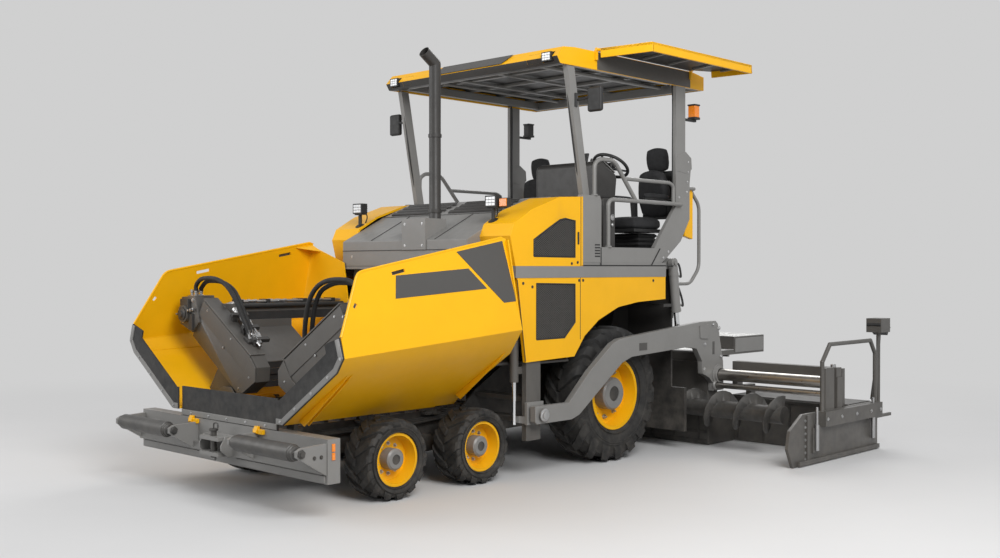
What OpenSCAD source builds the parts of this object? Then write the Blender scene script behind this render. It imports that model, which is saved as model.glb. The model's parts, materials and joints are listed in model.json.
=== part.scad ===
// Wheeled road paver: hopper with folding wings, tandem steered front wheels, driven rear wheels,
// operator platform under a canopy, and an extending screed on two towed side arms.
// Lengths in millimetres, +X ahead, +Y to the left, +Z up, ground at Z = 0.

/* [Wheels] */
// Rear tyre diameter over the lugs
rear_tyre_d = 1260; // [1180:10:1320]
// Rear tyre width
rear_tyre_w = 400; // [340:10:440]
// Rear rim seat diameter
rear_rim_d = 630; // [580:10:680]
// Distance between the rear tyres' middle planes
rear_track = 1930; // [1900:10:1950]
// Front tyre diameter over the lugs
front_tyre_d = 634; // [600:2:660]
// Front tyre width
front_tyre_w = 320; // [280:10:340]
// Front rim seat diameter
front_rim_d = 400; // [360:10:430]
// Distance between the front tyres' middle planes
front_track = 1820; // [1800:10:1880]
// Rear axle to the second front axle
wheelbase = 1667; // [1640:1:1700]
// Distance between the two front axles
tandem_pitch = 930; // [880:5:960]

/* [Frame] */
// Distance between the frame plates' outer faces
frame_w = 1090; // [1040:10:1110]
// Frame plate thickness
frame_t = 25; // [16:1:32]
// Height of the conveyor's top
floor_z = 600; // [580:5:610]

/* [Hopper] */
// Half width between the wing hinges
hinge_y = 640; // [630:1:650]
// Height of the wing hinges
hinge_z = 655; // [650:1:670]
// Half width over the wings at their lower crease
hopper_half_w = 1488; // [1440:2:1520]
// Wing plate thickness
wing_t = 14; // [10:1:20]
// Front end of the wings ahead of the rear axle
hopper_front = 3455; // [3450:1:3470]
// Width of the rubber skirt along the front edge
skirt_w = 180; // [150:5:180]

/* [Push beam] */
// Push roller diameter
roller_d = 125; // [100:5:140]
// Push roller length
roller_len = 800; // [700:10:810]
// Roller axis ahead of the rear axle
roller_x = 3672; // [3650:1:3690]
// Beam half width
push_half_w = 1290; // [1285:5:1310]
// Beam height
push_h = 320; // [280:5:330]

/* [Body] */
// Width over the side panels
body_w = 2400; // [2380:5:2410]
// Side panel thickness
panel_t = 36; // [24:2:40]
// Deck height
deck_z = 1850; // [1840:5:1870]

/* [Canopy] */
// Height of the canopy's top
canopy_top = 3765; // [3700:5:3840]
// Canopy half width
canopy_half_w = 1150; // [1120:5:1180]
// Reach of a side flap
flap_w = 430; // [350:10:480]
// Exhaust pipe diameter
exhaust_d = 105; // [90:1:120]

/* [Screed] */
// Half width to the end plates' outer faces
screed_half_w = 2530; // [2480:5:2560]
// Half width of the main screed
main_half_w = 1215; // [1180:5:1218]
// Tow arm thickness
arm_t = 60; // [40:2:70]
// Guide tube diameter
guide_d = 115; // [100:1:125]
// Auger diameter
auger_d = 370; // [320:5:380]
// Auger tip from the middle plane
auger_tip = 2210; // [2100:5:2215]
// Lift cylinder barrel diameter
lift_d = 92; // [80:1:96]

/* [Hidden] */
$fn = 48;
eps = 1;
// Running clearance on the radius
run = 0.05;
front_reach = roller_x + roller_d / 2;
rear_reach = 2760;
axle_x = (rear_reach - front_reach) / 2;
frame_y = frame_w / 2;
body_y = body_w / 2;
wheel_x1 = wheelbase + tandem_pitch;
rear_z = rear_tyre_d / 2;
front_z = front_tyre_d / 2;
front_lugs = 14;
rear_lugs = 18;
king_y = 690;
king_r = 24;
spindle_r = 40;
rear_spindle_r = 70;
tow_x = wheelbase - 487;
tow_z = 556;
tow_pin_r = 32;
arm_y = max(body_y + 25, rear_track / 2 + rear_tyre_w / 2 + 60);
lift_top = [-890, 1850];
lift_eye = [-985, 1060];
lift_y = 1150;
lift_vec = lift_eye - lift_top;
lift_len = norm(lift_vec);
lift_tilt = atan2(-lift_vec[0], -lift_vec[1]);
barrel_len = 470;
lift_rod_r = 26;
level_x = tow_x + 150;
level_y = 1095;
auger_x = -1200;
auger_z = 412;
auger_pin_r = 40;
auger_pitch = 330;
roof_z = canopy_top - 165;
flap_hinge_z = canopy_top + 15;
flap_hinge_y = canopy_half_w + 22;
screed_front = -1420;
guide_x = -1480;
guide_z = 722;
guide2_x = -1440;
guide2_z = 617;
guide2_d = 56;

yellow = [0.95, 0.66, 0.06];
grey = [0.29, 0.28, 0.27];
black = [0.05, 0.05, 0.05];
steel = [0.72, 0.73, 0.74];

// Shared helpers
module at_axle() translate([axle_x, 0, 0]) children();
module both() { children(); mirror([0, 1, 0]) children(); }
module right() mirror([0, 1, 0]) children();
module box(x0, x1, y0, y1, z0, z1) translate([x0, y0, z0]) cube([x1 - x0, y1 - y0, z1 - z0]);
module plate_xz(p, y0, y1) translate([0, y1, 0]) rotate([90, 0, 0]) linear_extrude(height = y1 - y0) polygon(p);
module plate_yz(p, x0, x1) translate([x0, 0, 0]) rotate([90, 0, 90]) linear_extrude(height = x1 - x0) polygon(p);
module cyl_x(y, z, x0, x1, r) translate([x0, y, z]) rotate([0, 90, 0]) cylinder(r = r, h = x1 - x0);
module cyl_y(x, z, y0, y1, r) translate([x, y0, z]) rotate([-90, 0, 0]) cylinder(r = r, h = y1 - y0);
module cyl_z(x, y, z0, z1, r) translate([x, y, z0]) cylinder(r = r, h = z1 - z0);
module rod(p, q, r) {
  v = q - p;
  translate(p) rotate([0, acos(v[2] / norm(v)), atan2(v[1], v[0])]) cylinder(r = r, h = norm(v));
}
module bend(p, r) translate(p) sphere(r = r + 0.8);
module rail(pts, r) {
  for (i = [0:len(pts) - 2]) rod(pts[i], pts[i + 1], r);
  for (i = [1:len(pts) - 2]) bend(pts[i], r);
}
// Rectangular bar in a plane of constant Y, between two (x, z) points
module bar_xz(a, b, y0, y1, t) {
  v = b - a;
  translate([a[0], y0, a[1]]) rotate([0, -atan2(v[1], v[0]), 0]) translate([0, 0, -t / 2])
    cube([norm(v), y1 - y0, t]);
}
// Left-hand offset of an open line, joined to it as one band
function nrm(a, b) = [-(b[1] - a[1]), b[0] - a[0]] / norm(b - a);
function miter(p, i, t) = i == 0 ? p[0] + t * nrm(p[0], p[1])
  : i == len(p) - 1 ? p[i] + t * nrm(p[i - 1], p[i])
  : let (n = nrm(p[i - 1], p[i]), m = nrm(p[i], p[i + 1])) p[i] + t * (n + m) / (1 + n * m);
function band(p, t) = concat(p, [for (i = [len(p) - 1:-1:0]) miter(p, i, t)]);

// Wheels
// Ring of lugs round a root circle, as one outline
function lug_ring(n, r, root, shift) = [for (i = [0:n - 1])
  for (p = [[-0.30, root], [-0.21, r], [0.21, r], [0.30, root]])
    p[1] * [cos((i + shift + p[0]) * 360 / n), sin((i + shift + p[0]) * 360 / n)]];
module tyre_shape(d, w, rd, lugs, lug_h) {
  h = (d - rd) / 2;
  bulge = rd / 2 + 0.5 * h;
  tread = 0.36 * w;
  difference() {
    for (s = [0, 1]) mirror([0, s, 0]) rotate([-90, 0, 0]) {
      linear_extrude(height = tread) polygon(lug_ring(lugs, d / 2, d / 2 - lug_h, s / 2));
      translate([0, 0, tread]) linear_extrude(height = w / 2 - tread, scale = 2 * bulge / d)
        polygon(lug_ring(lugs, d / 2, d / 2 - lug_h, s / 2));
    }
    for (s = [0, 1]) mirror([0, s, 0]) rotate([-90, 0, 0]) translate([0, 0, 0.40 * w])
      cylinder(r1 = rd / 2 + 0.09 * h, r2 = bulge, h = w / 2 - 0.40 * w);
    rotate([-90, 0, 0]) translate([0, 0, -w]) cylinder(r = rd / 2, h = 2 * w);
  }
}
module rim_shape(w, rd, hub_r, bore_r, lip) {
  a = 0.40 * w;
  rotate([-90, 0, 0]) rotate_extrude() polygon([
    [bore_r, -0.10 * w], [hub_r, -0.10 * w], [hub_r, 0.02 * w], [rd / 2 - 12, 0.02 * w],
    [rd / 2 - 12, -a - 9], [rd / 2 + lip, -a - 9], [rd / 2 + lip, -a], [rd / 2, -a],
    [rd / 2, a], [rd / 2 + lip, a], [rd / 2 + lip, a + 9], [rd / 2 - 12, a + 9],
    [rd / 2 - 30, 0.10 * w], [hub_r, 0.08 * w], [hub_r, 0.36 * w], [hub_r - 15, 0.40 * w],
    [bore_r, 0.40 * w]]);
}
module front_tyre(x) at_axle() translate([x, front_track / 2, front_z])
  color(black) tyre_shape(front_tyre_d, front_tyre_w, front_rim_d, front_lugs, 20);
module front_rim(x) at_axle() translate([x, front_track / 2, front_z])
  color(yellow) rim_shape(front_tyre_w, front_rim_d, 85, spindle_r + run, 8);
module rear_tyre() at_axle() translate([0, rear_track / 2, rear_z])
  color(black) tyre_shape(rear_tyre_d, rear_tyre_w, rear_rim_d, rear_lugs, 34);
module rear_rim() at_axle() translate([0, rear_track / 2, rear_z])
  color(yellow) rim_shape(rear_tyre_w, rear_rim_d, 150, rear_spindle_r + run, 18);
// Steered knuckle with its wheel spindle
module knuckle(x) at_axle() color(grey) difference() {
  union() {
    cyl_z(x, king_y, front_z - 55, front_z + 55, 42);
    cyl_y(x, front_z, king_y, front_track / 2 + 0.38 * front_tyre_w, spindle_r);
    box(x - 32, x + 32, king_y, king_y + 70, front_z - 32, front_z + 32);
  }
  cyl_z(x, king_y, front_z - 60, front_z + 60, king_r + run);
}
module tyre_front_left() front_tyre(wheel_x1);
module tyre_front_right() right() front_tyre(wheel_x1);
module tyre_mid_left() front_tyre(wheelbase);
module tyre_mid_right() right() front_tyre(wheelbase);
module rim_front_left() front_rim(wheel_x1);
module rim_front_right() right() front_rim(wheel_x1);
module rim_mid_left() front_rim(wheelbase);
module rim_mid_right() right() front_rim(wheelbase);
module tyre_rear_left() rear_tyre();
module tyre_rear_right() right() rear_tyre();
module rim_rear_left() rear_rim();
module rim_rear_right() right() rear_rim();
module knuckle_front_left() knuckle(wheel_x1);
module knuckle_front_right() right() knuckle(wheel_x1);
module knuckle_mid_left() knuckle(wheelbase);
module knuckle_mid_right() right() knuckle(wheelbase);

// Tandem beam on each side, with a fork and kingpin at each end
module bogie_side() {
  mid = wheelbase + tandem_pitch / 2;
  plate_xz([[wheelbase - 70, front_z - 50], [wheelbase - 70, front_z + 50], [mid - 120, front_z + 95],
    [mid + 120, front_z + 95], [wheel_x1 + 70, front_z + 50], [wheel_x1 + 70, front_z - 50],
    [mid + 120, front_z - 70], [mid - 120, front_z - 70]], frame_y + 10, 605);
  cyl_y(mid, front_z + 40, frame_y, 605, 60);
  for (x = [wheelbase, wheel_x1]) {
    for (s = [-1, 1]) {
      box(x - 40, x + 40, 600, king_y, front_z + s * 75 - 14, front_z + s * 75 + 14);
      cyl_z(x, king_y, front_z + s * 75 - 14, front_z + s * 75 + 14, 40);
    }
    box(x - 40, x + 40, 575, 605, front_z - 89, front_z + 89);
    cyl_z(x, king_y, front_z - 80, front_z + 80, king_r);
  }
}
module front_bogies() at_axle() color(grey) both() bogie_side();
module rear_axle() at_axle() color(grey) both() {
  cyl_y(0, rear_z, frame_y, rear_track / 2 - 0.10 * rear_tyre_w - 12, 125);
  cyl_y(0, rear_z, frame_y, rear_track / 2 + 0.38 * rear_tyre_w, rear_spindle_r);
}

// Frame plates with their cross members and the engine's floor
frame_rear = -960;
beam_x = 3340;
tunnel_y = frame_y - frame_t;
frame_line = [[frame_rear, 420], [-760, 360], [1100, 330], [beam_x, 330], [beam_x, 585], [1400, 585], [1250, 720],
  [760, 1000], [-620, 1000], [-760, 1450], [frame_rear, 1450]];
module main_frame() at_axle() color(grey) {
  both() {
    plate_xz(frame_line, frame_y - frame_t, frame_y);
    box(-860, -720, frame_y - eps, body_y - panel_t, 1420, 1450);
  }
  for (x = [3100, 2050, 1050, 250, -500]) box(x - 60, x + 60, eps - frame_y, frame_y - eps, 380, 470);
  box(-610, 1560, 2 - frame_y, frame_y - 2, 962, 985);
}
// Walls before and behind the engine, open where the conveyor runs, with the auger drive case
module bulkheads() at_axle() color(grey) {
  box(1560, 1585, -frame_y - 200, frame_y + 200, 985, deck_z - 60);
  both() {
    box(1560, 1585, frame_y, frame_y + 200, front_tyre_d + 30, 986);
    box(-985, frame_rear, tunnel_y, 1080, 620, 986);
    box(-1000, frame_rear, tunnel_y, 1240, 539, 620);
  }
  box(-985, frame_rear, -1080, 1080, 985, deck_z - 35);
  box(-1000, frame_rear, -1240, 1240, 190, 540);
  box(auger_x - 65, -999, -60, 60, 300, 760);
  cyl_y(auger_x, auger_z, -250, 250, auger_pin_r);
}
// Hinge lugs and pins of the hopper wings
lug_xs = [1800, 2520, 3230];
module wing_hinges() at_axle() color(grey) both() {
  for (x = lug_xs) {
    box(x, x + 40, frame_y, hinge_y, 562, hinge_z + 20);
    cyl_x(hinge_y, hinge_z, x, x + 40, 38);
    box(x - 60, x + 100, frame_y, hinge_y - 20, 561, 580);
  }
  cyl_x(hinge_y, hinge_z, lug_xs[0] - 10, lug_xs[2] + 50, 18);
}
// Covers over the rear wheels
module wheel_houses() at_axle() color(grey) both() {
  plate_xz(band([[720, 990], [500, 1230], [230, 1390], [-80, 1475], [-700, 1500]], -20), frame_y, body_y - panel_t);
  box(700, 1080, frame_y, body_y - panel_t, 975, 996);
  box(1079, 1560, frame_y, 1040, 975, 996);
}
module engine_block() at_axle() color(grey) box(350, 1450, -420, 420, 985, 1750);

// Slat conveyor along the hopper's floor
module conveyor() at_axle() color(black) {
  w = frame_y - frame_t - 6;
  box(-995, beam_x - 10, -w, w, floor_z - 45, floor_z - 20);
  for (x = [-990:160:beam_x - 60]) box(x, x + 40, -w, w, floor_z - 21, floor_z);
  for (s = [-1, 0, 1]) box(-955, beam_x - 10, s * 420 - 40, s * 420 + 40, 470, floor_z - 44);
}

// Hopper wing: four folded plates between a front and a rear section, with a rear wall
wing_rear = 1650;
wing_lean = 0.26;
wing_front_line = [[hinge_y + 50, hinge_z - wing_t], [775, hinge_z - wing_t], [hopper_half_w - 73, 1064],
  [hopper_half_w, 1170], [hopper_half_w - 930 * wing_lean, 2100]];
wing_rear_line = [[hinge_y + 50, hinge_z - wing_t], [775, 722], [hopper_half_w - 134, 1105],
  [hopper_half_w + 2, 1302], [hopper_half_w + 2 - 798 * wing_lean, 2100]];
wing_outline = [[hopper_front, 600], [hopper_front, 1315], [3232, 1740], [3205, 1768], [3170, 1780],
  [1690, 2050], [wing_rear, 2040], [wing_rear, 600]];
// Ends of the slots along the top edge
wing_slots = [[2905, 1758, 2775, 1783], [2035, 1915, 1905, 1939], [3300, 1515, 3278, 1547]];
function strip(p, i, a, b) = [miter(p, i, a), miter(p, i + 1, a), miter(p, i + 1, b), miter(p, i, b)];
module wing_plates(a, b) for (i = [0:3]) hull() {
  plate_yz(strip(wing_front_line, i, a, b), hopper_front - eps, hopper_front);
  plate_yz(strip(wing_rear_line, i, a, b), wing_rear, wing_rear + eps);
}
wing_wall = concat([for (i = [0:3]) miter(wing_rear_line, i, wing_t / 2)],
  [[hopper_half_w - 150, 2030], [1210, 1985], [800, 1850], [720, 1400]]);
module wing() {
  intersection() {
    wing_plates(0, wing_t);
    difference() {
      plate_xz(wing_outline, 500, 1700);
      for (p = wing_slots) bar_xz([p[0], p[1]], [p[2], p[3]], 1000, 1700, 26);
    }
  }
  plate_yz(wing_wall, wing_rear, wing_rear + wing_t);
  for (i = [0, 1]) difference() {
    union() {
      cyl_x(hinge_y, hinge_z, lug_xs[i] + 45, lug_xs[i + 1] - 5, 32);
      box(lug_xs[i] + 45, lug_xs[i + 1] - 5, hinge_y, hinge_y + 60, hinge_z - wing_t, hinge_z + 8);
    }
    cyl_x(hinge_y, hinge_z, lug_xs[i], lug_xs[i + 1], 18 + run);
  }
}
module wing_left() at_axle() color(yellow) wing();
module wing_right() at_axle() right() color(yellow) wing();
// Rubber skirt and its clamp strip on the wing's front edge
skirt_line = concat([for (i = [0:3]) wing_front_line[i]], [[hopper_half_w - 46, 1315]]);
clamp_line = concat([skirt_line[0] + [6, 4]], [for (i = [1:3]) miter(skirt_line, i, 4)], [skirt_line[4] + [-4, -6]]);
module skirt() {
  plate_yz(band(skirt_line, skirt_w), hopper_front, hopper_front + 12);
  plate_yz(band(clamp_line, 42), hopper_front + 11, hopper_front + 20);
}
module skirt_left() at_axle() color(black) skirt();
module skirt_right() at_axle() right() color(black) skirt();
// Inclined box arm with its lid, drive head and foot, and the beam along the hopper
arm_x = 2937;
arm_line = [[160, 866], [340, 758], [432, 750], [1130, 1207], [948, 1530], [229, 1075], [150, 985]];
arm_head = [[1000, 1330], [1102, 1240], [1300, 1310], [1275, 1545], [1060, 1560]];
arm_foot = [[440, 757], [715, 672], [1000, 640], [905, 772], [760, 964]];
module wing_arm() {
  difference() {
    union() {
      plate_yz(arm_line, arm_x, arm_x + 130);
      plate_yz(arm_head, arm_x - 40, arm_x + 150);
      plate_yz(arm_foot, arm_x + 30, arm_x + 100);
      box(wing_rear + wing_t, arm_x + 10, 800, 930, 1345, 1490);
    }
    wing_plates(-400, wing_t);
  }
  cyl_x(1200, 1400, arm_x + 149, arm_x + 190, 75);
}
module wing_arm_left() at_axle() color(grey) wing_arm();
module wing_arm_right() at_axle() right() color(grey) wing_arm();

// Push beam with the roller brackets and the coupling bracket
roller_y = 445;
roller_z = 510;
beam_top = 590;
beam_front = 3452;
module push_beam() at_axle() color(grey) {
  box(beam_x, beam_front, -push_half_w, push_half_w, beam_top - push_h, beam_top);
  both() {
    for (y = [roller_y - 35, roller_y + roller_len + 5])
      plate_xz([[beam_front - 2, 330], [beam_front - 2, 560], [roller_x, roller_z + 40], [roller_x + 38, roller_z + 20],
        [roller_x + 38, roller_z - 20], [roller_x, roller_z - 45]], y, y + 30);
    cyl_y(roller_x, roller_z, roller_y - 35, roller_y + roller_len + 35, 22);
    box(beam_front - 2, beam_front + 45, 130 - eps, push_half_w - 20, 345, 410);
  }
  difference() {
    union() {
      box(beam_front - 2, 3610, -130, 130, 350, 380);
      box(beam_front - 2, 3610, -130, 130, 470, 500);
      box(beam_front - 2, 3470, -130, 130, 350, 500);
    }
    cyl_z(3565, 0, 340, 510, 25);
  }
}
module roller() difference() {
  cyl_y(roller_x, roller_z, roller_y, roller_y + roller_len, roller_d / 2);
  cyl_y(roller_x, roller_z, roller_y - 1, roller_y + roller_len + 1, 22 + run);
}
module roller_left() at_axle() color(grey) roller();
module roller_right() at_axle() right() color(grey) roller();
// Rubber apron between the wings, with its clamp strip
module front_apron() at_axle() color(black) {
  box(hopper_front - 25, hopper_front - 13, -672, 672, beam_top, beam_top + 240);
  box(hopper_front - 14, hopper_front - 5, -668, 668, beam_top + 5, beam_top + 50);
}

// Engine hood between the yellow shoulders
hood_top = [[1640, 2045], [1150, 2290], [836, 2417], [560, 2450]];
hood_z = deck_z - 35;
hood_line = concat([[1640, hood_z]], hood_top, [[560, hood_z]]);
shoulder_top = [[1490, 2070], [1440, 2175], [1217, 2300], [860, 2420], [545, 2436]];
shoulder_line = concat([[1425, 1816]], shoulder_top, [[545, 1816]]);
hood_half = 840;
module engine_hood() at_axle() color(grey) {
  difference() {
    plate_xz(band(concat([[1640, hood_z]], hood_top, [[560, hood_z]]), 20), -hood_half, hood_half);
    both() for (x = [880:70:1090]) box(x, x + 28, 60, 740, 2200, 2460);
  }
  both() plate_xz(hood_line, hood_half - 20, hood_half);
}
// Yellow shoulders and flank panels
arch = [[663, 1018], [519, 1195], [321, 1330], [34, 1440], [-265, 1480], [-700, 1500]];
lower_line = concat([[1402, 1716], [1294, 1000]], arch, [[-700, 1716]]);
grille_low = [[1162, 1189], [1162, 1668], [654, 1657], [654, 1321], [797, 1191]];
grille_top = [[1196, 1900], [1196, 2041], [1005, 2144], [857, 2220], [787, 2233], [654, 2219], [654, 1896]];
module grille(outline, z0, z1) intersection() {
  plate_xz(outline, body_y - panel_t, body_y - 8);
  for (z = [z0:48:z1]) box(600, 1250, body_y - panel_t, body_y - 8, z, z + 12);
}
module body_panels() at_axle() color(yellow) both() {
  difference() {
    union() {
      plate_xz(lower_line, body_y - panel_t, body_y);
      plate_xz(shoulder_line, body_y - panel_t, body_y);
    }
    for (g = [grille_low, grille_top]) plate_xz(g, body_y - 16, body_y + 1);
  }
  grille(grille_low, 1215, 1640);
  grille(grille_top, 1925, 2200);
  plate_xz(band(concat([[1425, 1816]], shoulder_top, [[545, 1816]]), 20), hood_half, body_y - 2);
}
// Deck, its side bands, toe plates and rear panel
module platform_deck() at_axle() color(grey) {
  box(-985, 541, -1080, 1080, deck_z - 35, deck_z);
  box(-720, 541, -body_y + 10, body_y - 10, deck_z - 35, deck_z);
  both() {
    box(-700, 1425, body_y - panel_t - 10, body_y + 5, 1716, 1816);
    box(-620, 280, body_y - 30, body_y - 8, deck_z - eps, deck_z + 140);
    plate_xz([[280, deck_z - eps], [280, 2408], [300, 2455], [543, 2455], [543, deck_z - eps]],
      body_y - 60, body_y - 5);
    plate_xz([[-945, 1790], [-945, 1880], [-860, 1905], [-800, deck_z - eps], [-720, deck_z - eps], [-720, 1790]],
      1079, lift_y - lift_d / 2 - 6);
    cyl_y(lift_top[0], lift_top[1], 1090, 1190, 22);
  }
  box(540, 560, -hood_half, hood_half, deck_z - 35, 2440);
  box(1425, 1640, -hood_half, hood_half, 1790, hood_z);
}
// Control desk with its column and steering wheel
module console() at_axle() color(black) {
  plate_xz([[-330, 2450], [-360, 2700], [-120, 2830], [-20, 2800], [-20, 2450]], 100, 1000);
  box(-230, -60, 350, 750, deck_z, 2451);
  translate([-430, 740, 2800]) rotate([0, -35, 0]) {
    rotate_extrude() translate([175, 0]) circle(r = 16);
    translate([0, 0, -120]) cylinder(r = 22, h = 130);
    for (a = [0, 120, 240]) rotate([0, 0, a]) translate([0, -14, -8]) cube([176, 28, 14]);
  }
  rod([-320, 740, 2600], [-430, 740, 2720], 30);
}
module seat() {
  box(-900, -560, 620, 980, deck_z, 1900);
  box(-860, -600, 660, 940, 1899, 2151);
  box(-1010, -420, 570, 1030, 2150, 2300);
  plate_xz([[-940, 2290], [-1060, 2290], [-1170, 2790], [-1060, 2800]], 580, 1020);
  plate_xz([[-1075, 2780], [-1150, 2780], [-1180, 3030], [-1090, 3040]], 680, 920);
  for (y = [545, 1005]) box(-1000, -560, y, y + 50, 2480, 2530);
  for (y = [545, 1005]) box(-1060, -985, y, y + 50, 2300, 2531);
}
module seats() at_axle() color(black) both() seat();

// Canopy
module canopy_posts() at_axle() color(grey) both() {
  box(380, 470, body_y - 130, body_y - 62, deck_z, 2450);
  plate_xz([[380, 2449], [470, 2449], [690, roof_z], [595, roof_z]], body_y - 115, body_y - 62);
  plate_xz([[-1102, roof_z], [-1102, 2931], [-1190, 2894], [-1200, 2790], [-1178, 2642], [-1178, 2289],
    [-1027, 2066], [-800, 1905], [-710, deck_z], [-600, deck_z], [-590, 2000], [-945, 2413],
    [-945, roof_z]], body_y - 90, body_y - 52);
}
roof_front = 800;
roof_rear = -1420;
lamp_ys = [780, 960];
module canopy_roof() at_axle() color(yellow) {
  difference() {
    plate_xz([[roof_front, roof_z], [roof_front + 40, roof_z + 60], [roof_front - 40, canopy_top - 15],
      [roof_front - 200, canopy_top], [roof_rear + 200, canopy_top], [roof_rear, canopy_top - 30],
      [roof_rear, roof_z]], -canopy_half_w, canopy_half_w);
    box(roof_rear + 25, roof_front - 60, -canopy_half_w + 25, canopy_half_w - 25, roof_z - 1, canopy_top - 45);
    both() for (y = lamp_ys) box(roof_front - 20, roof_front + 60, y, y + 130, roof_z + 20, roof_z + 110);
  }
  both() for (x = [300, -1190]) {
    box(x, x + 30, canopy_half_w - eps, flap_hinge_y, canopy_top - 80, flap_hinge_z - 6);
    cyl_x(flap_hinge_y, flap_hinge_z, x, x + 30, 16);
  }
  both() cyl_x(flap_hinge_y, flap_hinge_z, -1189, 329, 8);
}
// Side flap, hinged on the roof's edge
module flap() {
  difference() {
    cyl_x(flap_hinge_y, flap_hinge_z, -1155, 295, 16);
    cyl_x(flap_hinge_y, flap_hinge_z, -1156, 296, 8 + run);
  }
  translate([0, flap_hinge_y, flap_hinge_z]) rotate([5, 0, 0]) {
    translate([0, 0, -12]) linear_extrude(height = 24)
      polygon([[290, 14], [60, flap_w], [-1600, flap_w], [-1400, 90], [-1150, 14]]);
  }
}
module flap_left() at_axle() color(yellow) flap();
module flap_right() at_axle() right() color(yellow) flap();

// Exhaust pipe with a bent outlet and a bracket on the hood
exhaust_x = 1470;
exhaust_y = 260;
module exhaust_stack() at_axle() color(grey) difference() {
  union() {
    cyl_z(exhaust_x, exhaust_y, 2050, canopy_top - 150, exhaust_d / 2);
    bend([exhaust_x, exhaust_y, canopy_top - 150], exhaust_d / 2);
    rod([exhaust_x, exhaust_y, canopy_top - 150], [exhaust_x + 130, exhaust_y, canopy_top - 60], exhaust_d / 2);
    box(1640, 1652, 20, 330, 1961, 2238);
    for (y = [20, 318]) plate_xz([[1651, 2040], [1651, 2238], [1400, 2238], [1400, 2150]], y, y + 12);
    box(1400, 1652, 20, 330, 2227, 2238);
  }
  rod([exhaust_x + 60, exhaust_y, canopy_top - 108], [exhaust_x + 260, exhaust_y, canopy_top + 30], exhaust_d / 2 - 6);
  plate_xz(hood_line, -hood_half, hood_half);
}
// Tubular rails beside the platform and at its rear
rail_y = body_y - 25;
loop_y = 1000;
module handrails() {
  rail([[157, rail_y, deck_z + 140], [157, rail_y, 2430], [-1000, rail_y, 2430], [-1000, body_y - 52, 2430]], 20);
  rail([[359, rail_y, 2455], [359, rail_y, 2740], [284, rail_y, 2790], [70, rail_y, 2790], [-260, rail_y, 2430]], 20);
  rail([[-985, loop_y, 1640], [-1400, loop_y, 1640], [-1560, loop_y, 1800], [-1560, loop_y, 2450], [-1400, loop_y, 2600],
    [-1300, body_y - 71, 2600], [-1178, body_y - 71, 2600]], 18);
  ladder();
}
// Ladder below the rear rail
module ladder() {
  rail([[-1150, loop_y, 1640], [-1080, loop_y, 1300]], 18);
  rail([[-1150, 620, 1640], [-1080, 620, 1300]], 18);
  rod([-1150, 620, 1640], [-1150, loop_y, 1640], 18);
  rod([-985, 620, 1640], [-1150, 620, 1640], 18);
  for (z = [1320, 1480]) box(-1200, -1080, 620, loop_y, z, z + 24);
}
module handrails_left() at_axle() color(grey) handrails();
module handrails_right() at_axle() right() color(grey) handrails();
mirror_z = roof_z - 300;
module mirrors() at_axle() color(black) both() {
  rail([[570, body_y - 62, mirror_z], [570, 1240, mirror_z], [545, 1330, mirror_z + 40]], 12);
  box(520, 570, 1260, 1420, mirror_z - 120, mirror_z + 100);
}
module lamps() at_axle() color(black) both() {
  difference() {
    cyl_z(1380, 900, 2150, 2330, 18);
    plate_xz(shoulder_line, hood_half, body_y);
  }
  box(1330, 1420, 830, 970, 2320, 2420);
  for (y = lamp_ys) box(roof_front - 20, roof_front + 55, y, y + 130, roof_z + 20, roof_z + 110);
  cyl_z(-1275, 1130, roof_z - 300, roof_z - 150, 55);
  box(-1300, -1102, 1115, 1145, roof_z - 330, roof_z - 299);
}

// Guides of the tow points with the levelling barrels
module tow_guides() at_axle() color(grey) both() {
  box(tow_x - 90, tow_x + 90, 1130, 1180, 330, 1000);
  for (z = [480, 660]) box(tow_x - 90, tow_x + 60, frame_y, 1131, z, z + 40);
  difference() {
    union() {
      cyl_z(level_x, level_y, 830, 1190, 38);
      box(tow_x + 20, level_x + 1, 1060, 1131, 900, 960);
    }
    cyl_z(level_x, level_y, 829, 1170, 20 + run);
  }
}
// Sliding tow points with their pins and levelling rods
module tow_sliders() at_axle() color(steel) both() {
  box(tow_x - 100, tow_x + 110, 1180.3, 1206, 470, 660);
  cyl_y(tow_x, tow_z, 1200, arm_y + arm_t + 20, tow_pin_r);
  box(tow_x + 96, tow_x + 110, level_y - 20, 1200, 480, 540);
  box(tow_x + 96, level_x, level_y - 20, level_y + 20, 480, 540);
  cyl_z(level_x, level_y, 470, 990, 20);
}
// Towed side arms
arm_profile = [[tow_x + 90, 500], [tow_x + 90, 632], [833, 629], [547, 885], [228, 1112], [126, 1152], [-1156, 1263],
  [-1445, 1266], [-1482, 1236], [-1580, 848], [-1590, 560], [-1400, 560],
  [-1395, 640], [-1330, 697], [-1215, 745], [-1205, 869],
  [-1107, 1000], [-939, 1023], [-63, 978], [84, 932], [692, 513], [796, 480], [tow_x + 70, 480]];
module tow_arms() at_axle() color(grey) both() difference() {
  plate_xz(arm_profile, arm_y, arm_y + arm_t);
  cyl_y(tow_x, tow_z, arm_y - 1, arm_y + arm_t + 1, tow_pin_r + run);
  guide_tubes(arm_y - 1, arm_y + arm_t + 1, 6);
}
// Main screed: sole box, guide housing, top beam, walkway boxes
module guide_tubes(y0, y1, gap) {
  cyl_y(guide_x, guide_z, y0, y1, guide_d / 2 + gap);
  cyl_y(guide2_x, guide2_z, y0, y1, guide2_d / 2 + gap);
}
module screed_main() at_axle() color(grey) {
  box(-1890, screed_front, -main_half_w, main_half_w, 6, 470);
  difference() {
    box(-1580, screed_front + 20, -main_half_w, main_half_w, 469, 845);
    both() guide_tubes(400, main_half_w + eps, run);
  }
  box(-1560, screed_front - 20, -main_half_w, main_half_w, 844, 930);
  both() {
    box(-1557, -1440, main_half_w - eps, arm_y, 846, 930);
    box(-2700, -2100, 450, 1080, 880, 1065);
    box(-2101, -1559, 450, 1080, 880, 930);
  }
}
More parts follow.
